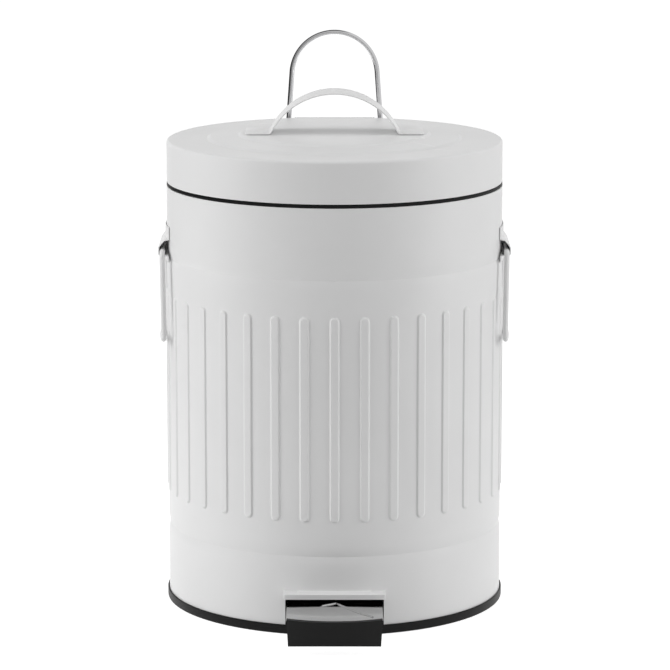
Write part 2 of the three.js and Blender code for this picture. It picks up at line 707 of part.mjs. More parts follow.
// The same for each rivet that holds the leaf to the lid.
const leafRivetPlaces = () => sideNames.map((side) =>
  [`leaf_rivet_${side}`, SIDES[side] * LEAF_RIVET_X, LID_BOTTOM_Z + LEAF_RIVET_HEIGHT]);

const rivetHole = ([, x, z], outside) =>
  radialPin(RIVET_RADIUS + PIN_GAP, x, outside, z, outside - 6, outside + 3);
const bracketRivetHoles = () =>
  bracketRivetPlaces().map((place) => rivetHole(place, FLANGE_OUTER));
const leafOuter = LID_RADIUS + SEAT_GAP + BARREL_WALL;
const leafRivetHoles = () => leafRivetPlaces().map((place) => rivetHole(place, leafOuter));

// ---------------------------------------------------------------- lid hinge

function barrel(from, to) {
  return alongX(BARREL_RADIUS, from, to, PIN_Y, PIN_Z, BARREL_SEGMENTS)
    .subtract(alongX(BARREL_RADIUS - BARREL_WALL, from - 1, to + 1, PIN_Y, PIN_Z, BARREL_SEGMENTS));
}

// The arm through the notch in the lid, with the eye that the push rod lifts.
function liftArm() {
  const eye = [PIN_Y - LIFT_RADIUS * Math.cos(HALF_OPEN), ROD_UPPER_Z];
  const eyeRadius = LIFT_HOLE + ROD_EYE_WALL;
  const angle = Math.atan2(eye[1] - PIN_Z, eye[0] - PIN_Y);
  const side = (turn) => [
    eye[0] + eyeRadius * Math.cos(angle + turn),
    eye[1] + eyeRadius * Math.sin(angle + turn),
  ];
  const link = sideways([
    [PIN_Y, PIN_Z - BARREL_WALL],
    side(-Math.PI / 2),
    side(Math.PI / 2),
    [PIN_Y, PIN_Z - BARREL_RADIUS],
  ], EYE_X, EYE_X + ARM_THICKNESS);
  const body = join([
    link,
    alongX(eyeRadius, EYE_X, EYE_X + ARM_THICKNESS, ...eye, BARREL_SEGMENTS),
    alongX(BARREL_RADIUS, EYE_X, EYE_X + ARM_THICKNESS, PIN_Y, PIN_Z, BARREL_SEGMENTS),
  ]);
  return body.subtract(alongX(LIFT_HOLE, 0, 2 * EYE_X + ARM_THICKNESS, ...eye, BARREL_SEGMENTS));
}

function lidHingeLeaf() {
  const inner = LID_RADIUS + SEAT_GAP;
  const sheet = ring(inner, leafOuter, 0, FAR, SHELL_SEGMENTS);
  const bottom = LID_BOTTOM_Z + LEAF_BOTTOM;
  const beside = PIN_Z - LEAF_TO_KNUCKLE;
  const outline = join([
    box([-LEAF_HALF_WIDTH, 0, bottom], [LEAF_HALF_WIDTH, FAR, beside]),
    box([-CENTRE_KNUCKLE_HALF, 0, bottom], [CENTRE_KNUCKLE_HALF, FAR, PIN_Z]),
  ]);
  const notch = box([-ROD_NOTCH_HALF, 0, 0], [ROD_NOTCH_HALF, FAR, PIN_Z - BARREL_RADIUS]);
  const leaf = cut(sheet.intersect(outline), [notch, ...leafRivetHoles()]);
  const bore = alongX(BARREL_RADIUS - BARREL_WALL, -FAR, FAR, PIN_Y, PIN_Z, BARREL_SEGMENTS);
  const knuckle = barrel(-CENTRE_KNUCKLE_HALF, CENTRE_KNUCKLE_HALF);
  return join([leaf, knuckle, liftArm()]).subtract(bore);
}

// The ear at one side of the bracket that carries the rear handle.
function carryEar(side) {
  const edges = [side * BRACKET_HALF_WIDTH, side * (BRACKET_HALF_WIDTH - BARREL_WALL)];
  const [from, to] = [Math.min(...edges), Math.max(...edges)];
  const back = CARRY_Y + CARRY_EAR_BACK;
  const half = CARRY_EAR_HALF_HEIGHT;
  const corner = CARRY_EAR_CORNER;
  const ear = sideways([
    [WEB_BACK_Y - BARREL_WALL, CARRY_PIVOT_Z - half],
    [back - corner, CARRY_PIVOT_Z - half],
    [back, CARRY_PIVOT_Z - half + corner],
    [back, CARRY_PIVOT_Z + half - corner],
    [back - corner, CARRY_PIVOT_Z + half],
    [WEB_BACK_Y - BARREL_WALL, CARRY_PIVOT_Z + half],
  ], from, to);
  const hole = alongX(CARRY_WIRE_RADIUS + PIN_GAP, from - 1, to + 1, CARRY_Y, CARRY_PIVOT_Z);
  return ear.subtract(hole);
}

function hingeBracket() {
  const half = BRACKET_HALF_WIDTH;
  const bottom = FLANGE_TOP_Z - FLANGE_HEIGHT;
  const flange = ring(FLANGE_INNER, FLANGE_OUTER, bottom, FLANGE_TOP_Z, SHELL_SEGMENTS)
    .intersect(box([-half, 0, 0], [half, FAR, FAR]));
  const shelf = box([-half, 0, FLANGE_TOP_Z - BARREL_WALL], [half, WEB_BACK_Y, FLANGE_TOP_Z])
    .subtract(ring(0, FLANGE_INNER, 0, FAR, SHELL_SEGMENTS));
  const web = box([-half, WEB_BACK_Y - BARREL_WALL, FLANGE_TOP_Z - BARREL_WALL], [half, WEB_BACK_Y, PIN_Z]);
  const window = box(
    [-CENTRE_KNUCKLE_HALF - 2 * SEAT_GAP, PIN_Y - BARREL_RADIUS - 1, PIN_Z - BARREL_RADIUS - 1],
    [CENTRE_KNUCKLE_HALF + 2 * SEAT_GAP, FAR, FAR],
  );
  const bore = alongX(BARREL_RADIUS - BARREL_WALL, -FAR, FAR, PIN_Y, PIN_Z, BARREL_SEGMENTS);
  const body = cut(join([flange, shelf, web, barrel(-half, half)]), [window, bore]);
  return join([cut(body, bracketRivetHoles()), carryEar(-1), carryEar(1)]);
}

function hingePin() {
  const end = BRACKET_HALF_WIDTH + SEAT_GAP;
  return join([
    alongX(PIN_RADIUS, -end, end, PIN_Y, PIN_Z, BARREL_SEGMENTS),
    alongX(PIN_HEAD_RADIUS, -end - PIN_HEAD, -end, PIN_Y, PIN_Z, BARREL_SEGMENTS),
    alongX(PIN_HEAD_RADIUS, end, end + PIN_HEAD, PIN_Y, PIN_Z, BARREL_SEGMENTS),
  ]);
}

// ---------------------------------------------------------------- push rod

const clipX = (thickness) => EYE_X + thickness + SEAT_GAP;

function pushRod() {
  const reach = clipX(PEDAL_SHEET) + CLIP_THICKNESS + ROD_PAST_CLIP;
  const path = bentPath(
    at(reach, ROD_Y, ROD_LOWER_Z),
    [
      { at: at(0, ROD_Y, ROD_LOWER_Z), bend: ROD_BEND },
      { at: at(0, ROD_Y, ROD_UPPER_Z), bend: ROD_BEND },
    ],
    at(reach, ROD_Y, ROD_UPPER_Z),
  );
  return bentWire(stations(path, 4), ROD_RADIUS);
}

// A push-on clip outside an eye of the given thickness.
function rodClip(thickness, z) {
  const from = clipX(thickness);
  const hole = ROD_RADIUS + PIN_GAP / 2;
  return alongX(CLIP_RADIUS, from, from + CLIP_THICKNESS, ROD_Y, z)
    .subtract(alongX(hole, from - 1, from + CLIP_THICKNESS + 1, ROD_Y, z));
}

// ---------------------------------------------------------------- pedal

// Points of the pedal's front edge, moved forward by offset, within a half width.
function frontArc(offset, half, steps = 10) {
  const radius = PEDAL_FRONT_RADIUS + offset;
  const limit = Math.asin(half / radius);
  return Array.from({ length: steps + 1 }, (_, index) => {
    const angle = -limit + (2 * limit * index) / steps;
    return [radius * Math.sin(angle), PEDAL_ARC_Y - radius * Math.cos(angle)];
  });
}

const crescent = (back, front, half, bottom, top) =>
  plate([...frontArc(front, half), ...frontArc(back, half).reverse()], bottom, top);

function beadOnPlate(end) {
  const points = [BEAD_APEX, end].map(([x, reach]) => at(x, -SHELL_RADIUS - reach, PEDAL_TOP_Z));
  return bentWire(points, BEAD_RADIUS, 6);
}

function pedalLever() {
  const front = plate([
    ...frontArc(0, PEDAL_HALF_WIDTH),
    [PEDAL_HALF_WIDTH, PEDAL_SHOULDER_Y],
    [-PEDAL_HALF_WIDTH, PEDAL_SHOULDER_Y],
  ], PEDAL_UNDER_Z, PEDAL_TOP_Z);
  const lip = crescent(-PEDAL_SHEET, 0, PEDAL_LIP_HALF, PEDAL_TOP_Z - PEDAL_LIP_DEPTH, PEDAL_TOP_Z);
  const tail = SHELL_INNER - PEDAL_TAIL_CLEARANCE;
  const arm = sideways([
    [PEDAL_SHOULDER_Y - PEDAL_ARM_LAP, PEDAL_UNDER_Z],
    [PEDAL_SHOULDER_Y + PEDAL_ARM_LAP, PEDAL_UNDER_Z],
    [tail, PEDAL_TAIL_Z],
    [tail, PEDAL_TAIL_Z + PEDAL_SHEET],
    [PEDAL_SHOULDER_Y + PEDAL_ARM_LAP, PEDAL_TOP_Z],
    [PEDAL_SHOULDER_Y - PEDAL_ARM_LAP, PEDAL_TOP_Z],
  ], -PEDAL_ARM_HALF, PEDAL_ARM_HALF);
  const armPlan = plate([
    [-PEDAL_ARM_HALF, PEDAL_SHOULDER_Y - PEDAL_ARM_LAP],
    [PEDAL_ARM_HALF, PEDAL_SHOULDER_Y - PEDAL_ARM_LAP],
    [PEDAL_ARM_HALF, PIVOT_Y + PEDAL_ARM_LEAD],
    [PEDAL_TAIL_HALF, tail],
    [-PEDAL_TAIL_HALF, tail],
    [-PEDAL_ARM_HALF, PIVOT_Y + PEDAL_ARM_LEAD],
  ], 0, FAR);
  const armZ = (y) => {
    const bend = PEDAL_SHOULDER_Y + PEDAL_ARM_LAP;
    const part = (y - bend) / (tail - bend);
    return PEDAL_UNDER_Z + part * (PEDAL_TAIL_Z - PEDAL_UNDER_Z) + PEDAL_SHEET / 2;
  };
  const earRadius = AXLE_RADIUS + ROD_EYE_WALL;
  const ears = [-PEDAL_ARM_HALF, PEDAL_ARM_HALF - PEDAL_SHEET].map((from) => join([
    alongX(earRadius, from, from + PEDAL_SHEET, PIVOT_Y, PIVOT_Z, BARREL_SEGMENTS),
    box(
      [from, PIVOT_Y - earRadius, PIVOT_Z],
      [from + PEDAL_SHEET, PIVOT_Y + earRadius, armZ(PIVOT_Y + earRadius)],
    ),
  ]));
  const tabHalf = PEDAL_TAB_RADIUS;
  const tabHole = ROD_RADIUS + 2 * SEAT_GAP;
  const tab = join([
    alongX(tabHalf, EYE_X, EYE_X + PEDAL_SHEET, ROD_Y - PEDAL_TAB_LEAD, ROD_LOWER_Z, BARREL_SEGMENTS),
    box(
      [EYE_X, ROD_Y - PEDAL_TAB_LEAD - tabHalf, armZ(ROD_Y)],
      [EYE_X + PEDAL_SHEET, ROD_Y - PEDAL_TAB_LEAD + tabHalf, ROD_LOWER_Z],
    ),
  ]);
  const spineFrom = PIVOT_Y + PEDAL_SPINE_FROM;
  const spineTo = ROD_Y - PEDAL_SPINE_TO;
  const spine = bentWire([
    at(0, spineFrom, armZ(spineFrom) + PEDAL_SHEET / 2),
    at(0, spineTo, armZ(spineTo) + PEDAL_SHEET / 2),
  ], PEDAL_SPINE_RADIUS);
  const body = join([front, lip, arm.intersect(armPlan), ...ears, tab, spine,
    beadOnPlate(BEAD_LEFT_END), beadOnPlate(BEAD_RIGHT_END)]);
  return cut(body, [
    alongX(AXLE_RADIUS + PIN_GAP, -FAR, FAR, PIVOT_Y, PIVOT_Z, BARREL_SEGMENTS),
    alongX(tabHole, 1, EYE_X + PEDAL_SHEET + 1, ROD_Y, ROD_LOWER_Z, BARREL_SEGMENTS),
  ]);
}

function pedalPad() {
  const back = -(PEDAL_SHEET + SEAT_GAP + PAD_BACK_SKIN);
  const front = SEAT_GAP + PAD_SKIN;
  const outline = [...frontArc(front, PAD_HALF_WIDTH), ...frontArc(back, PAD_HALF_WIDTH).reverse()];
  const geometry = new THREE.ExtrudeGeometry(shapeOf(outline), {
    depth: PEDAL_TOP_Z,
    bevelEnabled: false,
  });
  const narrow = 1 - PAD_TAPER / PAD_HALF_WIDTH;
  const position = geometry.attributes.position;
  for (let i = 0; i < position.count; i += 1) {
    const part = position.getZ(i) / PEDAL_TOP_Z;
    position.setX(i, position.getX(i) * (narrow + (1 - narrow) * part));
  }
  const frontY = PEDAL_FRONT_Y - front;
  const low = (y) => PAD_FRONT_BOTTOM_Z - PAD_BOTTOM_SLOPE * (y - frontY);
  const under = sideways([
    [frontY - 5, -5],
    [PIVOT_Y, -5 - FAR],
    [PIVOT_Y, low(PIVOT_Y)],
    [frontY - 5, low(frontY - 5)],
  ], -FAR, FAR);
  const plateRoom = crescent(-PEDAL_FRONT_RADIUS / 3, SEAT_GAP, PEDAL_HALF_WIDTH + 1, PEDAL_UNDER_Z - SEAT_GAP, FAR);
  const lipRoom = crescent(
    -PEDAL_SHEET - SEAT_GAP,
    SEAT_GAP,
    PEDAL_LIP_HALF + SEAT_GAP,
    PEDAL_TOP_Z - PEDAL_LIP_DEPTH - SEAT_GAP,
    FAR,
  );
  const backRoom = crescent(-PEDAL_FRONT_RADIUS / 3, SEAT_GAP, PAD_HALF_WIDTH + 5, -FAR, PAD_BACK_BOTTOM_Z);
  return cut(solid(geometry), [under, plateRoom, lipRoom, backRoom]);
}

const cheekInner = PEDAL_ARM_HALF + CHEEK_GAP;

function pedalBracket() {
  const bottom = TRAY_FLOOR + SEAT_GAP;
  const half = PEDAL_BRACKET_LENGTH / 2;
  const base = box(
    [-PEDAL_BRACKET_HALF, PIVOT_Y - half, bottom],
    [PEDAL_BRACKET_HALF, PIVOT_Y + half, bottom + CHEEK_THICKNESS],
  );
  const cheeks = [-cheekInner - CHEEK_THICKNESS, cheekInner].map((from) => join([
    sideways([
      [PIVOT_Y - half + CHEEK_INSET, bottom],
      [PIVOT_Y + half - CHEEK_INSET, bottom],
      [PIVOT_Y + CHEEK_RADIUS, PIVOT_Z],
      [PIVOT_Y - CHEEK_RADIUS, PIVOT_Z],
    ], from, from + CHEEK_THICKNESS),
    alongX(CHEEK_RADIUS, from, from + CHEEK_THICKNESS, PIVOT_Y, PIVOT_Z, BARREL_SEGMENTS),
  ]));
  const holes = [-1, 1].map((side) =>
    upright(SCREW_RADIUS + PIN_GAP, side * SCREW_X, PIVOT_Y, 0, PIVOT_Z));
  const bore = alongX(AXLE_RADIUS + PIN_GAP, -FAR, FAR, PIVOT_Y, PIVOT_Z, BARREL_SEGMENTS);
  return cut(join([base, ...cheeks]), [...holes, bore]);
}

function pedalBracketScrew(side) {
  const seat = TRAY_FLOOR + SEAT_GAP + CHEEK_THICKNESS + SEAT_GAP;
  return join([
    upright(SCREW_RADIUS, side * SCREW_X, PIVOT_Y, seat - SCREW_DEPTH, seat),
    upright(SCREW_HEAD_RADIUS, side * SCREW_X, PIVOT_Y, seat, seat + SCREW_HEAD),
  ]);
}

function pedalAxle() {
  const end = cheekInner + CHEEK_THICKNESS + SEAT_GAP;
  return join([
    alongX(AXLE_RADIUS, -end, end, PIVOT_Y, PIVOT_Z, BARREL_SEGMENTS),
    alongX(AXLE_RADIUS + 1, -end - PIN_HEAD, -end, PIVOT_Y, PIVOT_Z, BARREL_SEGMENTS),
    alongX(AXLE_RADIUS + 1, end, end + PIN_HEAD, PIVOT_Y, PIVOT_Z, BARREL_SEGMENTS),
  ]);
}

// ---------------------------------------------------------------- inner bucket

function innerBucket() {
  const inTop = BUCKET_TOP_RADIUS - BUCKET_WALL;
  const inBottom = BUCKET_BOTTOM_RADIUS - BUCKET_WALL;
  const body = turned([
    [0, BUCKET_BOTTOM_Z],
    [BUCKET_BOTTOM_RADIUS - BUCKET_CORNER, BUCKET_BOTTOM_Z],
    [BUCKET_BOTTOM_RADIUS, BUCKET_BOTTOM_Z + BUCKET_CORNER],
    [BUCKET_TOP_RADIUS, RIM_BUCKET_Z],
    [BUCKET_RIM_RADIUS, RIM_BUCKET_Z],
    [BUCKET_RIM_RADIUS, BUCKET_TOP_Z],
    [inTop, BUCKET_TOP_Z],
    [inBottom, BUCKET_BOTTOM_Z + BUCKET_CORNER + BUCKET_WALL],
    [inBottom - BUCKET_CORNER, BUCKET_BOTTOM_Z + BUCKET_WALL],
    [0, BUCKET_BOTTOM_Z + BUCKET_WALL],
  ], RING_SEGMENTS);
  const hole = BAIL_RADIUS + PIN_GAP;
  const ears = [-1, 1].map((side) => {
    const edges = [side * inTop, side * (inTop + BAIL_EAR_THICKNESS)];
    const low = [Math.min(...edges), -BAIL_EAR_HALF, BUCKET_TOP_Z - BUCKET_WALL / 2];
    const high = [Math.max(...edges), BAIL_EAR_HALF, BUCKET_TOP_Z + BAIL_EAR_HEIGHT];
    return box(low, high);
  });
  const bore = alongX(hole, -FAR, FAR, 0, BAIL_Z);
  return join([body, ...ears.map((ear) => ear.subtract(bore))]);
}

function bucketBail() {
  const inner = BUCKET_TOP_RADIUS - BUCKET_WALL - BAIL_END;
  const points = stations(bentPath(
    at(-inner, 0, BAIL_Z),
    [{ at: at(-BAIL_ARC_RADIUS, 0, BAIL_Z), bend: BAIL_BEND }],
    at(-BAIL_ARC_RADIUS, -BAIL_LEAD / 2, BAIL_Z),
  ), 4);
  const start = Math.asin(BAIL_LEAD / BAIL_ARC_RADIUS);
  const steps = 16;
  for (let i = 0; i <= steps; i += 1) {
    const angle = Math.PI + start + ((Math.PI - 2 * start) * i) / steps;
    points.push(at(BAIL_ARC_RADIUS * Math.cos(angle), BAIL_ARC_RADIUS * Math.sin(angle), BAIL_Z));
  }
  const lastBend = points.slice(0, points.length - steps - 1).reverse();
  const mirrored = lastBend.map((point) => at(-point.x, point.y, point.z));
  return bentWire([...points, ...mirrored], BAIL_RADIUS, 6);
}

// ---------------------------------------------------------------- rear carry handle

function carryHandle() {
  const splay = THREE.MathUtils.degToRad(CARRY_SPLAY_DEG);
  const centre = CARRY_APEX_Z - CARRY_ARC_RADIUS;
  const shoulder = [CARRY_ARC_RADIUS * Math.cos(splay), centre + CARRY_ARC_RADIUS * Math.sin(splay)];
  const footX = shoulder[0] + (shoulder[1] - CARRY_PIVOT_Z) * Math.tan(splay);
  const endX = BRACKET_HALF_WIDTH - BARREL_WALL - CARRY_END;
  const leg = stations(bentPath(
    at(-endX, CARRY_Y, CARRY_PIVOT_Z),
    [{ at: at(-footX, CARRY_Y, CARRY_PIVOT_Z), bend: CARRY_BEND }],
    at(-shoulder[0], CARRY_Y, shoulder[1]),
  ), 4);
  const points = leg.slice(0, -1);
  const steps = 18;
  for (let i = 0; i <= steps; i += 1) {
    const angle = Math.PI - splay - ((Math.PI - 2 * splay) * i) / steps;
    points.push(at(
      CARRY_ARC_RADIUS * Math.cos(angle),
      CARRY_Y,
      centre + CARRY_ARC_RADIUS * Math.sin(angle),
    ));
  }
  const mirrored = leg.slice(0, -1).reverse().map((point) => at(-point.x, point.y, point.z));
  return bentWire([...points, ...mirrored], CARRY_WIRE_RADIUS);
}

// ---------------------------------------------------------------- side handles

// Both are made for the +X side and turned round for the other.
function earBracket() {
  const clear = SHELL_RADIUS + SEAT_GAP;
  const out = EAR_BAR_X + EAR_WIRE_RADIUS + SEAT_GAP + EAR_SHEET;
  const roof = EAR_WIRE_RADIUS + SEAT_GAP;
  const floor = roof + EAR_SHEET + EAR_FACE_DROP;
  // Height above the bar and distance outwards of the tunnel's outside
  const section = (inset) => [
    [0, roof + EAR_ROOF_RISE - inset],
    [clear + EAR_ROOF_LEDGE, roof + EAR_ROOF_RISE - inset],
    [out - EAR_BEND_INSET - inset / 2, roof + EAR_BEND_RISE - inset / 2],
    [out - inset, roof + EAR_FACE_RISE],
    [out - inset, EAR_FACE_DROP - roof],
    [out - EAR_FOOT_INSET - inset / 2, inset - floor],
    [0, inset - floor],
  ].map(([x, z]) => [x, EAR_BAR_Z + z]);
  const tunnel = across(section(0), EAR_TUNNEL_HALF)
    .subtract(across(section(EAR_SHEET), EAR_TUNNEL_HALF + 1));
  const sheet = ring(clear, clear + EAR_SHEET, 0, FAR, SHELL_SEGMENTS);
  const upper = sheet.intersect(box(
    [0, -EAR_TAB_HALF, EAR_BAR_Z + roof + EAR_ROOF_RISE - 1],
    [FAR, EAR_TAB_HALF, EAR_BAR_Z + EAR_TAB_TOP],
  ));
  const lower = sheet.intersect(box(
    [0, -EAR_TUNNEL_HALF, EAR_BAR_Z - EAR_TAB_BOTTOM],
    [FAR, EAR_TUNNEL_HALF, EAR_BAR_Z - roof - EAR_SHEET / 2],
  ));
  return join([tunnel.subtract(ring(0, clear, 0, FAR, SHELL_SEGMENTS)), upper, lower]);
}

function earHandle() {
  const legX = EAR_BAR_X - EAR_LEG_INSET;
  const bottomZ = EAR_BAR_Z - EAR_DROP;
  const butt = 0.4; // the ends of the wire meet in the tunnel
  const half = stations(bentPath(
    at(EAR_BAR_X, butt, EAR_BAR_Z),
    [
      { at: at(EAR_BAR_X, EAR_TOP_HALF, EAR_BAR_Z), bend: EAR_TOP_BEND },
      { at: at(legX, EAR_BOTTOM_HALF, bottomZ), bend: EAR_BOTTOM_BEND },
    ],
    at(legX + EAR_BOTTOM_BOW * 0.5, EAR_BOTTOM_HALF / 2, bottomZ),
  ), 4);
  half.pop();
  [0.5, 0.25].forEach((part) => {
    const bow = EAR_BOTTOM_BOW * (1 - part * part);
    half.push(at(legX + bow, EAR_BOTTOM_HALF * part, bottomZ));
  });
  const middle = at(legX + EAR_BOTTOM_BOW, 0, bottomZ);
  const other = [...half].reverse().map((point) => at(point.x, -point.y, point.z));
  return bentWire([...half, middle, ...other], EAR_WIRE_RADIUS);
}

// ---------------------------------------------------------------- assembly

const bin = new THREE.Group();

function piece(name, body, material, parent = bin) {
  const mesh = new THREE.Mesh(geometryOf(body), material);
  mesh.name = name;
  parent.add(mesh);
}

piece('base_tray', baseTray(), blackPlastic());
piece('outer_shell', outerShell(), whitePaint());
piece('rim_ring', rimRing(), blackPlastic());
piece('inner_bucket', innerBucket(), blackPlastic());
piece('bucket_bail', bucketBail(), zincSteel());

piece('lid', lid(), whitePaint());
piece('lid_strap_handle', lidStrap(), whitePaint());
piece('lid_hinge_leaf', lidHingeLeaf(), whitePaint());
leafRivetPlaces().forEach(([name, x, z]) =>
  piece(name, radialRivet(x, z, LID_RADIUS - SHEET, leafOuter), whitePaint()));
piece('hinge_bracket', hingeBracket(), whitePaint());
bracketRivetPlaces().forEach(([name, x, z]) =>
  piece(name, radialRivet(x, z, SHELL_INNER, FLANGE_OUTER), whitePaint()));
piece('hinge_pin', hingePin(), zincSteel());
piece('carry_handle', carryHandle(), chrome());

piece('pedal_lever', pedalLever(), polishedSteel());
piece('pedal_pad', pedalPad(), blackPlastic());
piece('pedal_bracket', pedalBracket(), zincSteel());
sideNames.forEach((name) =>
  piece(`pedal_bracket_screw_${name}`, pedalBracketScrew(SIDES[name]), zincSteel()));
piece('pedal_axle', pedalAxle(), zincSteel());
piece('push_rod', pushRod(), zincSteel());
piece('rod_clip_lower', rodClip(PEDAL_SHEET, ROD_LOWER_Z), zincSteel());
piece('rod_clip_upper', rodClip(ARM_THICKNESS, ROD_UPPER_Z), zincSteel());

[['right', 0], ['left', Math.PI]].forEach(([sideName, turn]) => {
  const side = new THREE.Group();
  side.rotation.z = turn;
  bin.add(side);
  piece(`ear_bracket_${sideName}`, earBracket(), whitePaint(), side);
  piece(`ear_handle_${sideName}`, earHandle(), whitePaint(), side);
});

export default bin;
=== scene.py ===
"""Retro pedal bin: ribbed steel shell, hinged lid, pedal and handles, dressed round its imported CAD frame.

Lengths are in millimetres and turn into metres where a mesh is made. +X is right, -Y is the
front with the pedal, +Z is up, and the origin is on the floor at the axis of the shell.
"""

import json
import math
from collections import namedtuple

import bmesh
import bpy
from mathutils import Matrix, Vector
from mathutils.geometry import tessellate_polygon

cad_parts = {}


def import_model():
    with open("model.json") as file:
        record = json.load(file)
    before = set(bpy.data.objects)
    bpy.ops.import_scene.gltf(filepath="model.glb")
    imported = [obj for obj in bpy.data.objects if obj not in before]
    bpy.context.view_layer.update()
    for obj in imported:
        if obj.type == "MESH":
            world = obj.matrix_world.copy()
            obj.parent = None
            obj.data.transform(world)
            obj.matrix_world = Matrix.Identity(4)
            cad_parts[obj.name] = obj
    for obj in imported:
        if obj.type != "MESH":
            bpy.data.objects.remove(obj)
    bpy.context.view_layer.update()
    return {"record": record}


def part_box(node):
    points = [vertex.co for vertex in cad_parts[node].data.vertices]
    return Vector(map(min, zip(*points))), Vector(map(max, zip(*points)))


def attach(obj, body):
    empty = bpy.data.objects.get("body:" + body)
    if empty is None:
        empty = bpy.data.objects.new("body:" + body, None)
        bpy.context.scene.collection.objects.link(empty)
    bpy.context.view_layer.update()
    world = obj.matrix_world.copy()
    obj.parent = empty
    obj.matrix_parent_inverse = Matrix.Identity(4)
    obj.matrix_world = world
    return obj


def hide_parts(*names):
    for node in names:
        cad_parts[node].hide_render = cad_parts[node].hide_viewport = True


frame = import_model()

MM = 0.001
FAR = 1e6  # further back than any part of the bin

RECORD = frame["record"]
BODY_OF = {node: body for body, nodes in RECORD["behaviour"]["bodies"].items() for node in nodes}
SLOT_OF = {part["node"]: part["material_slot"] for part in RECORD["subparts"]}
PIVOT_OF = {
    joint["name"]: Vector(joint["pos_m"]) / MM
    for joint in RECORD["behaviour"]["joints"] if "pos_m" in joint
}


def span(node):
    """Lowest and highest corner of a CAD node, in millimetres."""
    low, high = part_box(node)
    return low / MM, high / MM


# ---------------------------------------------------------------- sizes

SHEET = 0.8  # steel sheet of the shell, lid, strap and hinge
SEAT = 0.3  # gap where one piece sits on another
HANDLE_WIRE = 1.65  # radius of the wire of the carry handle and the side handles

tray_high = span("base_tray")[1]
TRAY_RADIUS = tray_high.x
TRAY_RING_TOP = 5.65
SHELL_RADIUS = TRAY_RADIUS - SHEET - SEAT

shell_low, shell_high = span("outer_shell")
SHELL_BOTTOM, SHELL_TOP = shell_low.z, shell_high.z
RIB_COUNT = 36
RIB_PITCH = 360 / RIB_COUNT
RIB_HALF = 3.1
RIB_FLAT = 2.0  # half width of a rib's flat crown
RIB_RELIEF = 0.9
RIB_BOTTOM, RIB_TOP = SHELL_BOTTOM + 66.1, SHELL_TOP - 64.3
GROOVES = (SHELL_BOTTOM + 45.3, SHELL_TOP - 43)
GROOVE_HALF = 6.2
GROOVE_DEPTH = 0.8
GROOVE_CURVE = 1.8  # how much the groove's sides flatten outwards

HOOD_FRONT = shell_low.y
SLOT_HALF = 29.4
HOOD_HALF = SLOT_HALF + SHEET
HOOD_TOP = 26.4
HOOD_BOTTOM = HOOD_TOP - 3.2
HOOD_NOSE = 0.5  # rounding of the hood's upper front edge
HOOD_STEP_BACK = 2.35  # from the hood's front to its raised middle
HOOD_STEP = 0.6
HOOD_STEP_HALF = (21.3, 22.5)

rim_low, rim_high = span("rim_ring")
lid_low, lid_high = span("lid")
LID_RADIUS = lid_high.x
LID_BOTTOM, LID_TOP = lid_low.z, lid_high.z
LID_RIM = LID_TOP - 3.7
LID_STEPS = (57, 76)  # radii where the two steps of the lid begin
LID_STEP_WIDTH = 1.9
NOTCH_HALF = 6.5

pin_low, pin_high = span("hinge_pin")
PIN_Y, PIN_Z = (pin_low.y + pin_high.y) / 2, (pin_low.z + pin_high.z) / 2
BARREL = 3.0
KNUCKLE_HALF = 10
BRACKET_HALF = 24
BRACKET_RIVET_X, LEAF_RIVET_X = 16, 14

pivot_low, pivot_high = span("pedal_axle")
PIVOT_Y, PIVOT_Z = (pivot_low.y + pivot_high.y) / 2, (pivot_low.z + pivot_high.z) / 2
SCREW_X = 20.5  # the screws of the pedal bracket, to each side
SCREW_HOLE = 1.6
CHEEK_HOLE = 2.2  # holes for the axle and the hinge pin

rod_low, rod_high = span("push_rod")
ROD_RADIUS = 1.5
ROD_Y = (rod_low.y + rod_high.y) / 2
ROD_END = rod_high.x
ROD_LOWER_Z, ROD_UPPER_Z = rod_low.z + ROD_RADIUS, rod_high.z - ROD_RADIUS
LIFT_REACH = 6.99  # from the hinge pin forward to the eye of the lift arm

# ---------------------------------------------------------------- lines


def smoothstep(low, high, value):
    part = min(max((value - low) / (high - low), 0), 1)
    return part * part * (3 - 2 * part)


def rounded(points, radius, steps=5, closed=False):
    """A line whose corners are rounded by arcs. The radius is one number, or one for each point."""
    radii = radius if hasattr(radius, "__len__") else [radius] * len(points)
    line = []
    for index, (point, size) in enumerate(zip(points, radii)):
        here = Vector(point)
        back = Vector(points[index - 1]) - here
        ahead = Vector(points[(index + 1) % len(points)]) - here
        at_end = not closed and index in (0, len(points) - 1)
        half = 0 if at_end else back.angle(ahead) / 2
        if at_end or size == 0 or half > math.radians(89.5):
            line.append(here)
            continue
        reach = min(size / math.tan(half), 0.48 * min(back.length, ahead.length))
        size = reach * math.tan(half)
        back, ahead = back.normalized(), ahead.normalized()
        centre = here + (back + ahead).normalized() * (size / math.sin(half))
        first = (here + back * reach - centre).normalized()
        last = (here + ahead * reach - centre).normalized()
        other = (last - first * last.dot(first)).normalized()
        for step in range(steps + 1):
            turn = (math.pi - 2 * half) * step / steps
            line.append(centre + (first * math.cos(turn) + other * math.sin(turn)) * size)
    return line


def beside(line, distance):
    """An open line of (u, v) points moved sideways, to its right for a positive distance."""
    moved = []
    for index, point in enumerate(line):
        sides = []
        for start, end in ((index - 1, index), (index, index + 1)):
            if start >= 0 and end < len(line):
                along = (Vector(line[end]) - Vector(line[start])).normalized()
                sides.append(Vector((along.y, -along.x)))
        normal = sum(sides, Vector((0, 0)))
        normal /= 1 + (sides[0].dot(sides[1]) if len(sides) == 2 else 0)
        moved.append(Vector(point) + normal * distance)
    return moved


def circle(radius, centre=(0, 0), count=32):
    return [
        (centre[0] + radius * math.cos(math.tau * k / count),
         centre[1] + radius * math.sin(math.tau * k / count))
        for k in range(count)
    ]


def steps_between(low, high, count):
    return [low + (high - low) * k / count for k in range(count + 1)]


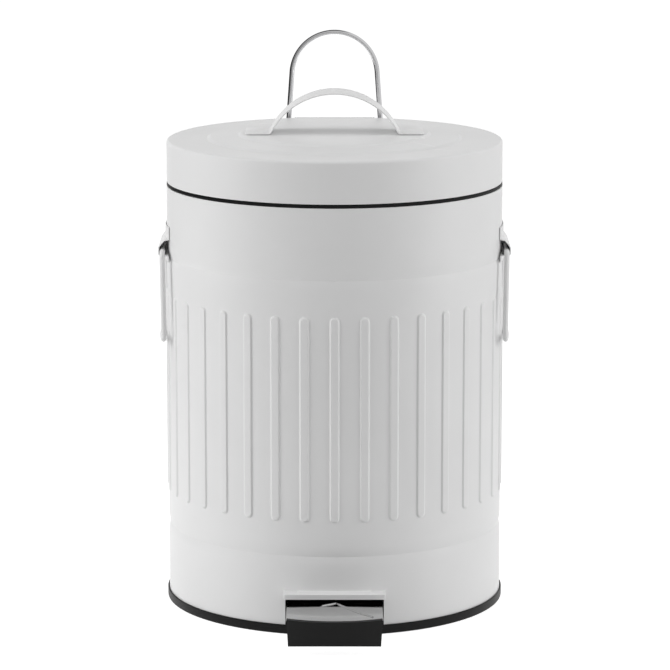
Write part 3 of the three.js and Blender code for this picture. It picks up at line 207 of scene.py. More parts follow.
def merged(values, least=0.02):
    """Sorted values, without those that nearly repeat the one before."""
    kept = []
    for value in sorted(values):
        if not kept or value - kept[-1] > least:
            kept.append(value)
    return kept


# ---------------------------------------------------------------- shapes
# A shape is a list of points and a list of faces.


def at_angle(angle, radius, height):
    """The point at an angle in degrees from the front of the bin, to the right."""
    turn = math.radians(angle)
    return radius * math.sin(turn), -radius * math.cos(turn), height


def lathe(profile, segments=180):
    """A closed profile of (radius, height) points turned round the axis."""
    count = len(profile)
    points = [at_angle(360 * k / segments, *point) for k in range(segments) for point in profile]
    faces = []
    for k in range(segments):
        here, there = k * count, (k + 1) % segments * count
        for row in range(count):
            above = (row + 1) % count
            faces.append((here + row, there + row, there + above, here + above))
    return points, faces


def ring(inner, outer, low, high, rounding=0.25, segments=48):
    corners = [(inner, low), (outer, low), (outer, high), (inner, high)]
    return lathe(rounded(corners, rounding, 3, closed=True), segments)


def placed(shape, place):
    points, faces = shape
    return [place(*point) for point in points], faces


def skins(columns, rows, outer, inner, kept=None, closed=False):
    """A sheet between two surfaces over a grid, closed along its edges and round its windows."""
    width, height = len(columns), len(rows)
    points = [side(column, row) for side in (outer, inner) for column in columns for row in rows]
    under = width * height

    def at(i, j):
        return i % width * height + j

    def has(i, j):
        return (i % width if closed else i, j) in cells

    cells = {
        (i, j)
        for i in range(width if closed else width - 1)
        for j in range(height - 1)
        if kept is None or kept(columns[i], columns[(i + 1) % width], rows[j], rows[j + 1])
    }
    faces = []
    for i, j in sorted(cells):
        a, b, c, d = at(i, j), at(i + 1, j), at(i + 1, j + 1), at(i, j + 1)
        faces += [(a, b, c, d), (under + d, under + c, under + b, under + a)]
        around = (((i, j - 1), a, b), ((i + 1, j), b, c), ((i, j + 1), c, d), ((i - 1, j), d, a))
        faces += [(q, p, under + p, under + q) for cell, p, q in around if not has(*cell)]
    return points, faces


def run_faces(count, sections):
    """The faces of a closed run of sections that have this many points each."""
    last = (sections - 1) * count
    faces = [tuple(range(count)), tuple(last + k for k in reversed(range(count)))]
    for start in range(0, last, count):
        for k in range(count):
            here, after = start + k, start + (k + 1) % count
            faces.append((here, after, after + count, here + count))
    return faces


def sweep(path, sections, side):
    """Sections of (u, v) points set along a path. v runs along the given side, u across it."""
    path = [Vector(point) for point in path]
    side = Vector(side)
    points = []
    for index, here in enumerate(path):
        ahead = path[min(index + 1, len(path) - 1)] - here
        behind = here - path[max(index - 1, 0)]
        along = (ahead.normalized() + behind.normalized()).normalized()
        side = (side - along * side.dot(along)).normalized()
        normal = along.cross(side)
        points += [here + normal * u + side * v for u, v in sections[index]]
    return points, run_faces(len(sections[0]), len(path))


def wire(path, radius, side, sides=20):
    """A round wire along a path, with its cut ends slightly rounded."""
    path = [Vector(point) for point in path]
    ends = ((0.0, 0.7), (0.12, 0.9), (0.35, 1.0))  # share of the radius: along the wire, across it
    first, last = (path[1] - path[0]).normalized(), (path[-2] - path[-1]).normalized()
    stations = [(path[0] + first * radius * part, radius * size) for part, size in ends]
    stations += [(point, radius) for point in path[1:-1]]
    stations += [(path[-1] + last * radius * part, radius * size) for part, size in reversed(ends)]
    return sweep([point for point, _ in stations],
                 [circle(size, count=sides) for _, size in stations], side)


def plate(outline, low, high, place, holes=()):
    """A flat plate with an outline and holes of (u, v) points, from one depth to another."""
    loops = [outline, *holes]
    flat = [point for loop in loops for point in loop]
    count = len(flat)
    points = [place(u, v, depth) for depth in (low, high) for u, v in flat]
    if holes:
        ends = tessellate_polygon([[Vector((u, v, 0)) for u, v in loop] for loop in loops])
    else:
        ends = [tuple(range(count))]
    faces = [face for end in ends for face in (tuple(end), tuple(count + k for k in reversed(end)))]
    start = 0
    for loop in loops:
        for k in range(len(loop)):
            here, after = start + k, start + (k + 1) % len(loop)
            faces.append((here, after, count + after, count + here))
        start += len(loop)
    return points, faces


def level(u, v, depth):
    """Outline in plan, drawn out upwards."""
    return u, v, depth


def side_on(u, v, depth):
    """Outline seen along X, as (y, z)."""
    return depth, u, v


def upright(x, y):
    """Places a shape that was turned round Z so that it stands at (x, y)."""
    return lambda u, v, w: (x + u, y + v, w)


def along_x(y, z):
    """Places a shape that was turned round Z so that its axis runs along X through (y, z)."""
    return lambda u, v, w: (w, y + u, z + v)


def outwards(x, z, reference):
    """Places a shape that was turned round Z so that it stands out from the rear of the bin."""
    turn = math.asin(x / reference)
    return lambda u, v, w: (
        w * math.sin(turn) + u * math.cos(turn), w * math.cos(turn) - u * math.sin(turn), z + v)


# ---------------------------------------------------------------- finishes


def new_nodes(tree, kind, **sockets):
    node = tree.nodes.new(kind)
    for name, value in sockets.items():
        node.inputs[name.replace("_", " ")].default_value = value
    return node


def map_range(tree, source, low, high, to_low, to_high):
    node = tree.nodes.new("ShaderNodeMapRange")
    for index, value in enumerate((low, high, to_low, to_high), 1):
        node.inputs[index].default_value = value
    tree.links.new(source, node.inputs["Value"])
    return node.outputs["Result"]


def math_node(tree, operation, *values):
    """A math node over sockets and numbers."""
    node = tree.nodes.new("ShaderNodeMath")
    node.operation = operation
    for index, value in enumerate(values):
        if isinstance(value, bpy.types.NodeSocket):
            tree.links.new(value, node.inputs[index])
        else:
            node.inputs[index].default_value = value
    return node.outputs["Value"]


def finish(name, colour, metallic, roughness, mottle, grain, depth, stretch=(1, 1, 1), wear=0.1,
           crystals=False, shine=0.5):
    """A finish with mottled colour, grain in its gloss and relief, and slightly rubbed edges.

    roughness is (lowest, highest); mottle and grain are the sizes of their patches in millimetres;
    depth is the relief of the grain in millimetres; wear is how far an edge turns paler; shine is
    how strongly a finish that isn't metal mirrors its surroundings.
    """
    material = bpy.data.materials.new(name)
    material.use_nodes = True
    tree = material.node_tree
    shader = tree.nodes["Principled BSDF"]
    shader.inputs["Metallic"].default_value = metallic
    shader.inputs["Specular IOR Level"].default_value = shine
    place = tree.nodes.new("ShaderNodeTexCoord")
    scaled = tree.nodes.new("ShaderNodeMapping")
    scaled.inputs["Scale"].default_value = stretch
    tree.links.new(place.outputs["Object"], scaled.inputs["Vector"])

    broad = new_nodes(tree, "ShaderNodeTexNoise", Scale=1000 / mottle, Detail=3.0)
    tree.links.new(place.outputs["Object"], broad.inputs["Vector"])
    fine = new_nodes(tree, "ShaderNodeTexNoise", Scale=1000 / grain, Detail=2.0)
    tree.links.new(scaled.outputs["Vector"], fine.inputs["Vector"])
    relief = fine.outputs["Fac"]
    if crystals:
        cells = new_nodes(tree, "ShaderNodeTexVoronoi", Scale=1000 / mottle)
        tree.links.new(place.outputs["Object"], cells.inputs["Vector"])
        tone = cells.outputs["Color"]
    else:
        tone = broad.outputs["Fac"]

    shade = map_range(tree, tone, 0.3, 0.7, 0.965, 1.0)
    pale = map_range(tree, new_nodes(tree, "ShaderNodeNewGeometry").outputs["Pointiness"],
                     0.52, 0.62, 1.0, 1.0 + wear)
    tint = tree.nodes.new("ShaderNodeVectorMath")
    tint.operation = "SCALE"
    tint.inputs[0].default_value = colour
    tree.links.new(math_node(tree, "MULTIPLY", shade, pale), tint.inputs["Scale"])
    tree.links.new(tint.outputs["Vector"], shader.inputs["Base Color"])

    tree.links.new(map_range(tree, relief, 0.35, 0.65, *roughness), shader.inputs["Roughness"])
    bump = new_nodes(tree, "ShaderNodeBump", Strength=1.0, Distance=depth * MM)
    tree.links.new(relief, bump.inputs["Height"])
    tree.links.new(bump.outputs["Normal"], shader.inputs["Normal"])
    return material


FINISHES = {
    "white_paint": finish("white_powder_coat", (0.80, 0.80, 0.80), 0, (0.36, 0.46), 60, 1.1, 0.004),
    "black_plastic": finish("black_moulded_plastic", (0.010, 0.010, 0.010), 0, (0.36, 0.5), 25, 0.5,
                            0.01, wear=0.3, shine=0.12),
    "polished_steel": finish("polished_steel_sheet", (0.63, 0.63, 0.63), 1, (0.05, 0.12), 18, 0.35,
                             0.0008, stretch=(0.03, 1, 1)),
    "zinc_steel": finish("zinc_plated_steel", (0.55, 0.56, 0.57), 1, (0.3, 0.45), 4, 0.6, 0.004,
                         crystals=True),
    "chrome": finish("bright_chrome", (0.80, 0.80, 0.81), 1, (0.04, 0.09), 30, 0.8, 0.0006),
}

# ---------------------------------------------------------------- pieces


def mesh_from(name, shapes):
    points, faces = [], []
    for more_points, more_faces in shapes:
        start = len(points)
        points += more_points
        faces += [tuple(start + k for k in face) for face in more_faces]
    mesh = bpy.data.meshes.new(name)
    mesh.from_pydata([tuple(value * MM for value in point) for point in points], [], faces)
    work = bmesh.new()
    work.from_mesh(mesh)
    bmesh.ops.remove_doubles(work, verts=work.verts, dist=0.001 * MM)
    loose = [vert for vert in work.verts if not vert.link_faces]
    bmesh.ops.delete(work, geom=loose, context="VERTS")
    bmesh.ops.recalc_face_normals(work, faces=work.faces)
    work.to_mesh(mesh)
    work.free()
    return mesh


def bored(piece, cutters):
    """The piece with the cutters' shapes taken out of it."""
    tool = bpy.data.objects.new("cutter", mesh_from("cutter", cutters))
    bpy.context.scene.collection.objects.link(tool)
    cut = piece.modifiers.new("cut", "BOOLEAN")
    cut.object, cut.operation, cut.solver = tool, "DIFFERENCE", "EXACT"
    graph = bpy.context.evaluated_depsgraph_get()
    piece.data = bpy.data.meshes.new_from_object(piece.evaluated_get(graph))
    piece.modifiers.clear()
    bpy.data.objects.remove(tool)


def dress(node, shapes, bevel=0, sharp=35, cutters=()):
    """The detailed piece that stands for a CAD node, with that node's body and material slot."""
    mesh = mesh_from(f"{node}_look", shapes)
    piece = bpy.data.objects.new(f"{node}_look", mesh)
    bpy.context.scene.collection.objects.link(piece)
    if cutters:
        bored(piece, cutters)
    piece.data.materials.clear()
    piece.data.materials.append(FINISHES[SLOT_OF[node]])
    piece.data.shade_smooth()
    piece.data.set_sharp_from_angle(angle=math.radians(sharp))
    if bevel:
        edges = piece.modifiers.new("edges", "BEVEL")
        edges.width, edges.segments, edges.limit_method = bevel * MM, 2, "ANGLE"
        edges.angle_limit = math.radians(50)
        piece.modifiers.new("normals", "WEIGHTED_NORMAL").keep_sharp = True
    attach(piece, BODY_OF[node])
    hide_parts(node)
    return piece


# ---------------------------------------------------------------- base tray and rim ring


def base_tray():
    groove = SHELL_RADIUS - SHEET - SEAT
    recess = (30, SHELL_RADIUS - 14)
    corners = [
        (0, 0), (recess[0], 0), (recess[0], 1), (recess[1], 1), (recess[1], 0), (TRAY_RADIUS, 0),
        (TRAY_RADIUS, TRAY_RING_TOP), (SHELL_RADIUS + SEAT, TRAY_RING_TOP),
        (SHELL_RADIUS + SEAT, SHELL_BOTTOM - SEAT), (groove, SHELL_BOTTOM - SEAT),
        (groove, tray_high.z), (groove - 1.8, tray_high.z), (groove - 1.8, 2), (0, 2),
    ]
    radii = [0, 0.3, 0.3, 0.3, 0.3, 0.8, 0.35, 0.25, 0, 0, 0.3, 0.3, 0.8, 0]
    places = [upright(x, PIVOT_Y) for x in (-SCREW_X, SCREW_X)]
    hole = lathe([(0, -1), (SCREW_HOLE, -1), (SCREW_HOLE, 4), (0, 4)], 24)
    boss = ring(SCREW_HOLE, 2 * SCREW_HOLE, 0.5, 1.2, 0.15, 32)
    holes = [placed(hole, place) for place in places]
    bosses = [placed(boss, place) for place in places]
    tray = dress("base_tray", [lathe(rounded(corners, radii, 4), 240)], cutters=holes)
    rings = bmesh.new()
    rings.from_mesh(tray.data)
    extra = mesh_from("bosses", bosses)
    rings.from_mesh(extra)
    rings.to_mesh(tray.data)
    rings.free()
    bpy.data.meshes.remove(extra)


def rim_ring():
    skirt = SHELL_RADIUS - SHEET - SEAT
    bore = SHELL_RADIUS - 10
    under = rim_high.z - 1.8
    corners = [
        (bore, rim_high.z), (bore, under - 3), (bore + 1, under - 3), (bore + 1, under),
        (skirt - 1, under), (skirt - 1, rim_low.z), (skirt, rim_low.z), (skirt, under),
        (LID_RADIUS, under), (LID_RADIUS, rim_high.z),
    ]
    radii = [0.8, 0.3, 0.3, 0.3, 0.3, 0.3, 0.3, 0.1, 0.5, 0.6]
    bore_radius = ROD_RADIUS + 0.6
    drill = lathe([(0, -1), (bore_radius, -1), (bore_radius, 400), (0, 400)], 32)
    dress("rim_ring", [lathe(rounded(corners, radii, 4, closed=True), 240)],
          cutters=[placed(drill, upright(0, ROD_Y))])


# ---------------------------------------------------------------- shell

# A row of the shell's grid: its height, how far it is set back from the hood's front, how far it
# stays clear of the wall behind, its share of the raised middle, and the sheet's inner height.
Row = namedtuple("Row", "height back clear raised under")


def plain(height):
    return Row(height, FAR, 0, 0, height)


def hood_rows():
    """From the lower edge of the hood over its rounded nose to the wall above."""
    floor = HOOD_TOP - SHEET
    rows = [Row(HOOD_BOTTOM, 0, 0, 0, HOOD_BOTTOM), Row(HOOD_BOTTOM + 1.4, 0, 0, 0, HOOD_BOTTOM + 1.4)]
    for step in range(5):
        turn = math.pi / 2 * step / 4
        height = HOOD_TOP - HOOD_NOSE * (1 - math.sin(turn))
        rows.append(Row(height, HOOD_NOSE * (1 - math.cos(turn)), 0, 0, min(height, floor)))
    for part, raised in ((-0.3, 0), (-0.12, 0.3), (0.12, 0.8), (0.3, 1)):
        rows.append(Row(HOOD_TOP + 0.01 * (part + 1), HOOD_STEP_BACK + part, HOOD_NOSE, raised, floor))
    for step in range(4):
        turn = math.pi / 2 * step / 3
        height = HOOD_TOP + 0.03 + HOOD_NOSE * (1 - math.cos(turn))
        rows.append(Row(height, FAR, HOOD_NOSE * (1 - math.sin(turn)), 1, height - SHEET))
    return rows


def shell_rows():
    groove = (0.15, 0.4, 0.8, 1.4, 2.2, 3.2, 4.6, GROOVE_HALF)
    rib_end = (0.3, 0, -0.2, -0.4, -0.6, -0.8, -1.0, -1.3, -1.7, -2.2, -2.7, -RIB_HALF)
    heights = [SHELL_BOTTOM, 4, 12, 20, HOOD_BOTTOM - 0.06, 28.5, 34, 60, 90, 130, 170, 200, 230, 250]
    heights += [SHELL_TOP - 0.3, SHELL_TOP]
    heights += [middle + way * step for middle in GROOVES for way in (-1, 1) for step in groove]
    heights += list(GROOVES)
    heights += [RIB_TOP + step for step in rib_end] + [RIB_BOTTOM - step for step in rib_end]
    hood = hood_rows()
    return sorted([plain(height) for height in merged(heights)] + hood, key=lambda row: row.height)


def shell_columns():
    """Angles from -180 to 180 degrees, close together on the flanks of the ribs and at the hood."""
    flank = (0, 1.1, 1.8, 2.05, 2.25, 2.45, 2.65, 2.85, 3.05, 3.3, 5.2, 7.2)
    angles = [
        RIB_PITCH * (rib - RIB_COUNT / 2) + math.degrees(way * step / SHELL_RADIUS)
        for rib in range(RIB_COUNT) for way in (-1, 1) for step in flank
    ]
    angles += [RIB_PITCH * (rib - RIB_COUNT / 2 + 0.5) for rib in range(RIB_COUNT)]
    corner = (0, 0.3, 0.55, 0.72, SHEET, SHEET + 0.05)
    for x in [*HOOD_STEP_HALF, sum(HOOD_STEP_HALF) / 2, *(SLOT_HALF + step for step in corner)]:
        turn = math.degrees(math.asin(x / SHELL_RADIUS))
        angles = [angle for angle in angles if abs(abs(angle) - turn) > 0.025] + [turn, -turn]
    return merged(angles, 0.01)


def pressed(angle, height):
    """How far the sheet stands out at a place: ribs outwards, grooves inwards."""
    along = (angle + RIB_PITCH / 2) % RIB_PITCH - RIB_PITCH / 2
    past = max(RIB_BOTTOM + RIB_HALF - height, height - RIB_TOP + RIB_HALF, 0)
    distance = math.hypot(math.radians(along) * SHELL_RADIUS, past)
    rib = RIB_RELIEF * (1 - smoothstep(RIB_FLAT, RIB_HALF, distance))
    parts = [max(0, 1 - abs(height - middle) / GROOVE_HALF) for middle in GROOVES]
    return rib - sum(GROOVE_DEPTH * part ** GROOVE_CURVE for part in parts)


def on_hood(angle, x, row):
    return abs(angle) < 90 and abs(x) < HOOD_HALF + 0.01 and row in HOOD_ROWS


def shell_outer(angle, row):
    x, y, z = at_angle(angle, SHELL_RADIUS + pressed(angle, row.height), row.height)
    if not on_hood(angle, x, row):
        return x, y, z
    corner = max(0, abs(x) - HOOD_HALF + HOOD_NOSE)
    front = HOOD_FRONT + HOOD_NOSE - math.sqrt(max(0, HOOD_NOSE ** 2 - corner ** 2))
    raised = row.raised * HOOD_STEP * (1 - smoothstep(*HOOD_STEP_HALF, abs(x)))
    return x, min(front + row.back, y - row.clear), z + raised


def shell_inner(angle, row):
    x, y, z = at_angle(angle, SHELL_RADIUS - SHEET + pressed(angle, row.height), row.height)
    outer_x = SHELL_RADIUS * math.sin(math.radians(angle))
    if abs(outer_x) > HOOD_HALF + 0.2 or abs(angle) > 90:
        return x, y, z
    wall = -math.sqrt((SHELL_RADIUS - SHEET) ** 2 - outer_x ** 2)
    if not on_hood(angle, outer_x, row):
        return outer_x, wall, z
    x = math.copysign(min(abs(outer_x), SLOT_HALF), outer_x)
    front = min(HOOD_FRONT + SHEET + row.back, wall - row.clear)
    part = max(0, abs(outer_x) - SLOT_HALF) / SHEET
    raised = row.raised * HOOD_STEP * (1 - smoothstep(*HOOD_STEP_HALF, abs(x)))
    return x, front + (wall - front) * part, row.under + raised


def outside_slot(angle, next_angle, row, next_row):
    """Whether a cell of the sheet is there, round the opening for the pedal."""
    widest = max(abs(SHELL_RADIUS * math.sin(math.radians(turn))) for turn in (angle, next_angle))
    in_front = abs(angle) < 90
    return not (in_front and widest < SLOT_HALF + 0.01 and next_row.height < HOOD_BOTTOM + 0.01)


HOOD_ROWS = hood_rows()


def outer_shell():
    dress("outer_shell", [skins(shell_columns(), shell_rows(), shell_outer, shell_inner,
                                outside_slot, closed=True)])


# ---------------------------------------------------------------- lid


def lid_line():
    """The upper line of the lid, from its middle over the two steps and the rim to its edge."""
    inner, outer = LID_STEPS
    corners = [
        (0, LID_TOP), (30, LID_TOP), (inner, LID_TOP), (inner + LID_STEP_WIDTH, LID_TOP - 1.15),
        (outer, LID_RIM + 1.35), (outer + LID_STEP_WIDTH, LID_RIM + 0.25),
        (LID_RADIUS - 8, LID_RIM), (LID_RADIUS, LID_RIM), (LID_RADIUS, PIN_Z),
        (LID_RADIUS, LID_BOTTOM + 0.4), (LID_RADIUS - 0.15, LID_BOTTOM),
    ]
    return rounded(corners, [0, 0, 1.4, 1.4, 1.4, 1.4, 0, 3, 0, 0.3, 0], 7)


def lid():
    top = lid_line()
    under = [Vector((max(point.x, 0), point.y)) for point in beside(top, SHEET)]
    under[0].x = 0
    notch = math.degrees(math.asin(NOTCH_HALF / LID_RADIUS))
    angles = merged([2 * k for k in range(180)] + [180 - notch, 180 + notch], 0.3)

    def kept(angle, next_angle, row, next_row):
        behind = abs(angle - 180) < notch + 0.01 and abs(next_angle - 180) < notch + 0.01
        return not (behind and top[row].x > LID_RADIUS - 1 and top[row].y < PIN_Z + 0.01)

    dress("lid", [skins(angles, range(len(top)), lambda angle, row: at_angle(angle, *top[row]),
                        lambda angle, row: at_angle(angle, *under[row]), kept, closed=True)])


def lid_strap_handle():
    low, high = span("lid_strap_handle")
    half, length, radius, corner = high.y, high.x, 43 + SHEET / 2, 2.4
    foot, centre = low.z + SHEET / 2, high.z - SHEET / 2 - radius
    start = math.asin((foot - centre) / radius)
    arch = [
        (radius * math.cos(turn), 0, centre + radius * math.sin(turn))
        for turn in steps_between(start, math.pi - start, 40)
    ]
    corners = [(length, 0, foot), *arch, (-length, 0, foot)]
    radii = [0, 2.5, *[0] * (len(arch) - 2), 2.5, 0]
    line = rounded(corners, radii, 8)
    ends = [length - corner * (1 - math.cos(math.pi / 2 * k / 6)) for k in range(7)]
    path = [(x, 0, foot) for x in ends] + line[1:-1] + [(-x, 0, foot) for x in reversed(ends)]
    sections = []
    for point in path:
        inset = max(0, abs(point[0]) - length + corner)
        width = half - corner + math.sqrt(max(0, corner ** 2 - inset ** 2))
        sections.append(rounded([(-SHEET / 2, -width), (SHEET / 2, -width), (SHEET / 2, width),
                                 (-SHEET / 2, width)], 0.3, 3, closed=True))
    dress("lid_strap_handle", [sweep(path, sections, (0, 1, 0))])


# ---------------------------------------------------------------- hinge


def rear_sheet(radius):
    """The distance behind the axis of a sheet that lies on a round wall of this radius."""
    return lambda x: math.sqrt(radius ** 2 - x ** 2)


def lift_arm():
    """The arm inside the lid, with the eye that the push rod lifts."""
    eye = (PIN_Y - LIFT_REACH, ROD_UPPER_Z)
    turn = math.atan2(eye[1] - PIN_Z, eye[0] - PIN_Y)
    root, head = 2.9, 4.7
    outline = [(PIN_Y + root * math.cos(turn + way), PIN_Z + root * math.sin(turn + way))
               for way in steps_between(-math.pi / 2, -3 * math.pi / 2, 12)]
    outline += [(eye[0] + head * math.cos(turn + way), eye[1] + head * math.sin(turn + way))
                for way in steps_between(math.pi / 2, -math.pi / 2, 20)]
    holes = [circle(CHEEK_HOLE, (PIN_Y, PIN_Z), 24), circle(2.7, eye, 24)]
    return plate(outline, 2.6, 3.8, side_on, holes)


def lid_hinge_leaf():
    radius = LID_RADIUS + SEAT
    beside_knuckle, bottom = PIN_Z - 3.7, LID_BOTTOM + 2.5
    columns = merged(steps_between(-20, 20, 40) + [-NOTCH_HALF, NOTCH_HALF], 0.1)
    rows = [bottom, bottom + 0.3, (bottom + beside_knuckle) / 2, beside_knuckle, PIN_Z - BARREL, PIN_Z - 1]

    def kept(x, next_x, row, next_row):
        middle = abs(x + next_x) / 2
        return not (middle < NOTCH_HALF and next_row < PIN_Z - BARREL + 0.01) and not (
            middle > KNUCKLE_HALF and row > beside_knuckle - 0.01)

    sheet = skins(columns, rows, lambda x, z: (x, rear_sheet(radius + SHEET)(x), z),
                  lambda x, z: (x, rear_sheet(radius)(x), z), kept)
    knuckle = placed(ring(BARREL - SHEET, BARREL, -KNUCKLE_HALF, KNUCKLE_HALF), along_x(PIN_Y, PIN_Z))
    dress("lid_hinge_leaf", [sheet, knuckle, lift_arm()], bevel=0.12)


def hinge_bracket():
    half, radius = BRACKET_HALF, SHELL_RADIUS + SEAT
    low, high = span("hinge_bracket")
    web = PIN_Y + BARREL
    shelf = SHELL_TOP - 4.3
    columns = merged(steps_between(-half, half, 48) + [-KNUCKLE_HALF - 0.6, KNUCKLE_HALF + 0.6], 0.1)
    rows = [("flange", low.z), ("flange", low.z + 0.4), ("flange", 237), ("flange", shelf - 1.6)]
    rows += [("bend", k) for k in range(5)] + [("turn", k) for k in range(5)]
    rows += [("web", shelf + 2), ("web", 265), ("web", PIN_Z - 4), ("web", PIN_Z)]

    def surface(inset):
        def point(x, row):
            kind, value = row
            wall = rear_sheet(radius + SHEET - inset)(x)
            back, under = web - inset, shelf - SHEET + inset
            if kind == "flange":
                return x, wall, value
            if kind == "web":
                return x, back, value
            turn = math.pi / 2 * value / 4
            size = 0.8 + (inset if kind == "bend" else -inset)
            if kind == "bend":
                return (x, wall + size * (1 - math.cos(turn)), under - size * (1 - math.sin(turn)))
            size = 1.6 - inset
            return (x, back - size * (1 - math.sin(turn)), under + size * (1 - math.cos(turn)))
        return point

    def kept(x, next_x, row, next_row):
        return not (abs(x + next_x) / 2 < KNUCKLE_HALF + 0.6 and row == ("web", PIN_Z - 4))

    sheet = skins(columns, rows, surface(0), surface(SHEET), kept)
    knuckles = [
        placed(ring(BARREL - SHEET, BARREL, *ends), along_x(PIN_Y, PIN_Z))
        for ends in ((-half, -KNUCKLE_HALF - 0.6), (KNUCKLE_HALF + 0.6, half))
    ]
    pivot = PIVOT_OF["carry_handle_fold"].yz
    outline = rounded([(web - 0.6, pivot[1] - 7), (high.y, pivot[1] - 7), (high.y, pivot[1] + 7),
                       (web - 0.6, pivot[1] + 7)], [0, 3, 3, 0], 6)
    ears = [plate(outline, min(ends), max(ends), side_on, [circle(1.85, pivot, 28)])
            for ends in ((-half, -half + SHEET), (half - SHEET, half))]
    dress("hinge_bracket", [sheet, *knuckles, *ears], bevel=0.12)


def headed_pin(node, tip, head, place):
    """A pin with a flat head at each end, out to tip on both sides."""
    end, shaft = tip - 1, 2
    line = [(0, -tip), (head, -tip), (head, -end), (shaft, -end), (shaft, end), (head, end),
            (head, tip), (0, tip)]
    shape = lathe(rounded(line, [0, 0.4, 0.15, 0, 0, 0.15, 0.4, 0], 4), 40)
    dress(node, [placed(shape, place)])


def rivet(node, inside, outside):
    """A round-headed rivet through the rear of the bin, from one radius to another."""
    low, high = span(node)
    x, z = (low.x + high.x) / 2, (low.z + high.z) / 2
    x = math.copysign(BRACKET_RIVET_X if "bracket" in node else LEAF_RIVET_X, x)
    over, under = outside + SEAT, inside - SEAT
    head, shank = 3.1, 1.6
    line = [(0, under - 0.7), (head, under - 0.7), (head, under), (shank, under), (shank, over)]
    line += [(head, over)]
    line += [(head * math.cos(turn), over + 0.15 + 1.25 * math.sin(turn))
             for turn in steps_between(0, math.pi / 2, 8)]
    shape = lathe([Vector(point) for point in line], 40)
    dress(node, [placed(shape, outwards(x, z, outside))])


# ---------------------------------------------------------------- push rod and pedal


def push_rod():
    path = rounded([(ROD_END, ROD_Y, ROD_LOWER_Z), (0, ROD_Y, ROD_LOWER_Z), (0, ROD_Y, ROD_UPPER_Z),
                    (ROD_END, ROD_Y, ROD_UPPER_Z)], 2.5, 12)
    dress("push_rod", [wire(path, ROD_RADIUS, (0, 1, 0))])
    for node, z in (("rod_clip_lower", ROD_LOWER_Z), ("rod_clip_upper", ROD_UPPER_Z)):
        low, high = span(node)
        dress(node, [placed(ring(1.6, 2.6, low.x, high.x, 0.15, 32), along_x(ROD_Y, z))])


pad_low = span("pedal_pad")[0]
lever_high = span("pedal_lever")[1]
PLATE_TOP = 20.9
PLATE_HALF = lever_high.x
PEDAL_SHEET = 1.5
PLATE_FRONT = pad_low.y + 3.3
FRONT_RADIUS = 63  # of the pedal's curved front edge
ARM_FROM = -SHELL_RADIUS + 5.5  # where the plate narrows to the arm
ARM_HALF, TAIL_HALF = 13.7, 8
BEAD, BEAD_HALF = 0.7, 0.75
BEAD_APEX = (0.9, -SHELL_RADIUS - 5.1)
DISH, DISH_HALF, DISH_LENGTH = 0.5, 40, 42
BEADS = [(BEAD_APEX, (-7.4, -SHELL_RADIUS - 10.5)), (BEAD_APEX, (22.5, -SHELL_RADIUS - 35.5))]


def arc_y(x, offset=0):
    """The front line of the pedal, moved forward by an offset."""
    radius = FRONT_RADIUS + offset
    return PLATE_FRONT + FRONT_RADIUS - math.sqrt(radius ** 2 - x ** 2)


def bead_height(x, y):
    """The pressed line on the plate."""
    nearest = FAR
    for start, end in BEADS:
        start, end, here = Vector(start), Vector(end), Vector((x, y))
        part = min(max((here - start).dot(end - start) / (end - start).length_squared, 0), 1)
        nearest = min(nearest, (here - start.lerp(end, part)).length)
    return BEAD * (1 - smoothstep(0, BEAD_HALF, nearest))


def dish(x, y):
    """How far the plate is hollowed, deepest across its middle."""
    across = max(0, 1 - (x / DISH_HALF) ** 2)
    along = min(max((y - arc_y(x)) / DISH_LENGTH, 0), 1)
    return DISH * across * math.sin(math.pi * along) ** 2


def pedal_plate():
    def place(height):
        def point(x, part):
            y = arc_y(x) + (ARM_FROM - arc_y(x)) * part
            return x, y, PLATE_TOP - height - dish(x, y) + (bead_height(x, y) if height == 0 else 0)
        return point

    columns = steps_between(-PLATE_HALF, PLATE_HALF, 220)
    return skins(columns, steps_between(0, 1, 190), place(0), place(PEDAL_SHEET))


def pedal_arm():
    tail = lever_high.y
    bend = ARM_FROM + 2
    slope = (7 + PEDAL_SHEET - PLATE_TOP) / (tail - bend)

    def place(depth):
        def point(part, y):
            narrow = max(0, y - PIVOT_Y - 8) / (tail - PIVOT_Y - 8)
            x = part * (ARM_HALF + (TAIL_HALF - ARM_HALF) * narrow)
            spine = 1.8 * (1 - smoothstep(0.6, 2.2, abs(x)))
            spine *= smoothstep(PIVOT_Y + 10, PIVOT_Y + 14, y) * (1 - smoothstep(74, 79, y))
            return x, y, PLATE_TOP + slope * max(0, y - bend) - depth + spine
        return point

    columns = [k / 12 for k in range(-12, 13)]
    rows = merged(steps_between(ARM_FROM - 2, tail, 90) + [bend], 0.1)
    return skins(columns, rows, place(0.02), place(PEDAL_SHEET - 0.02)), slope, bend


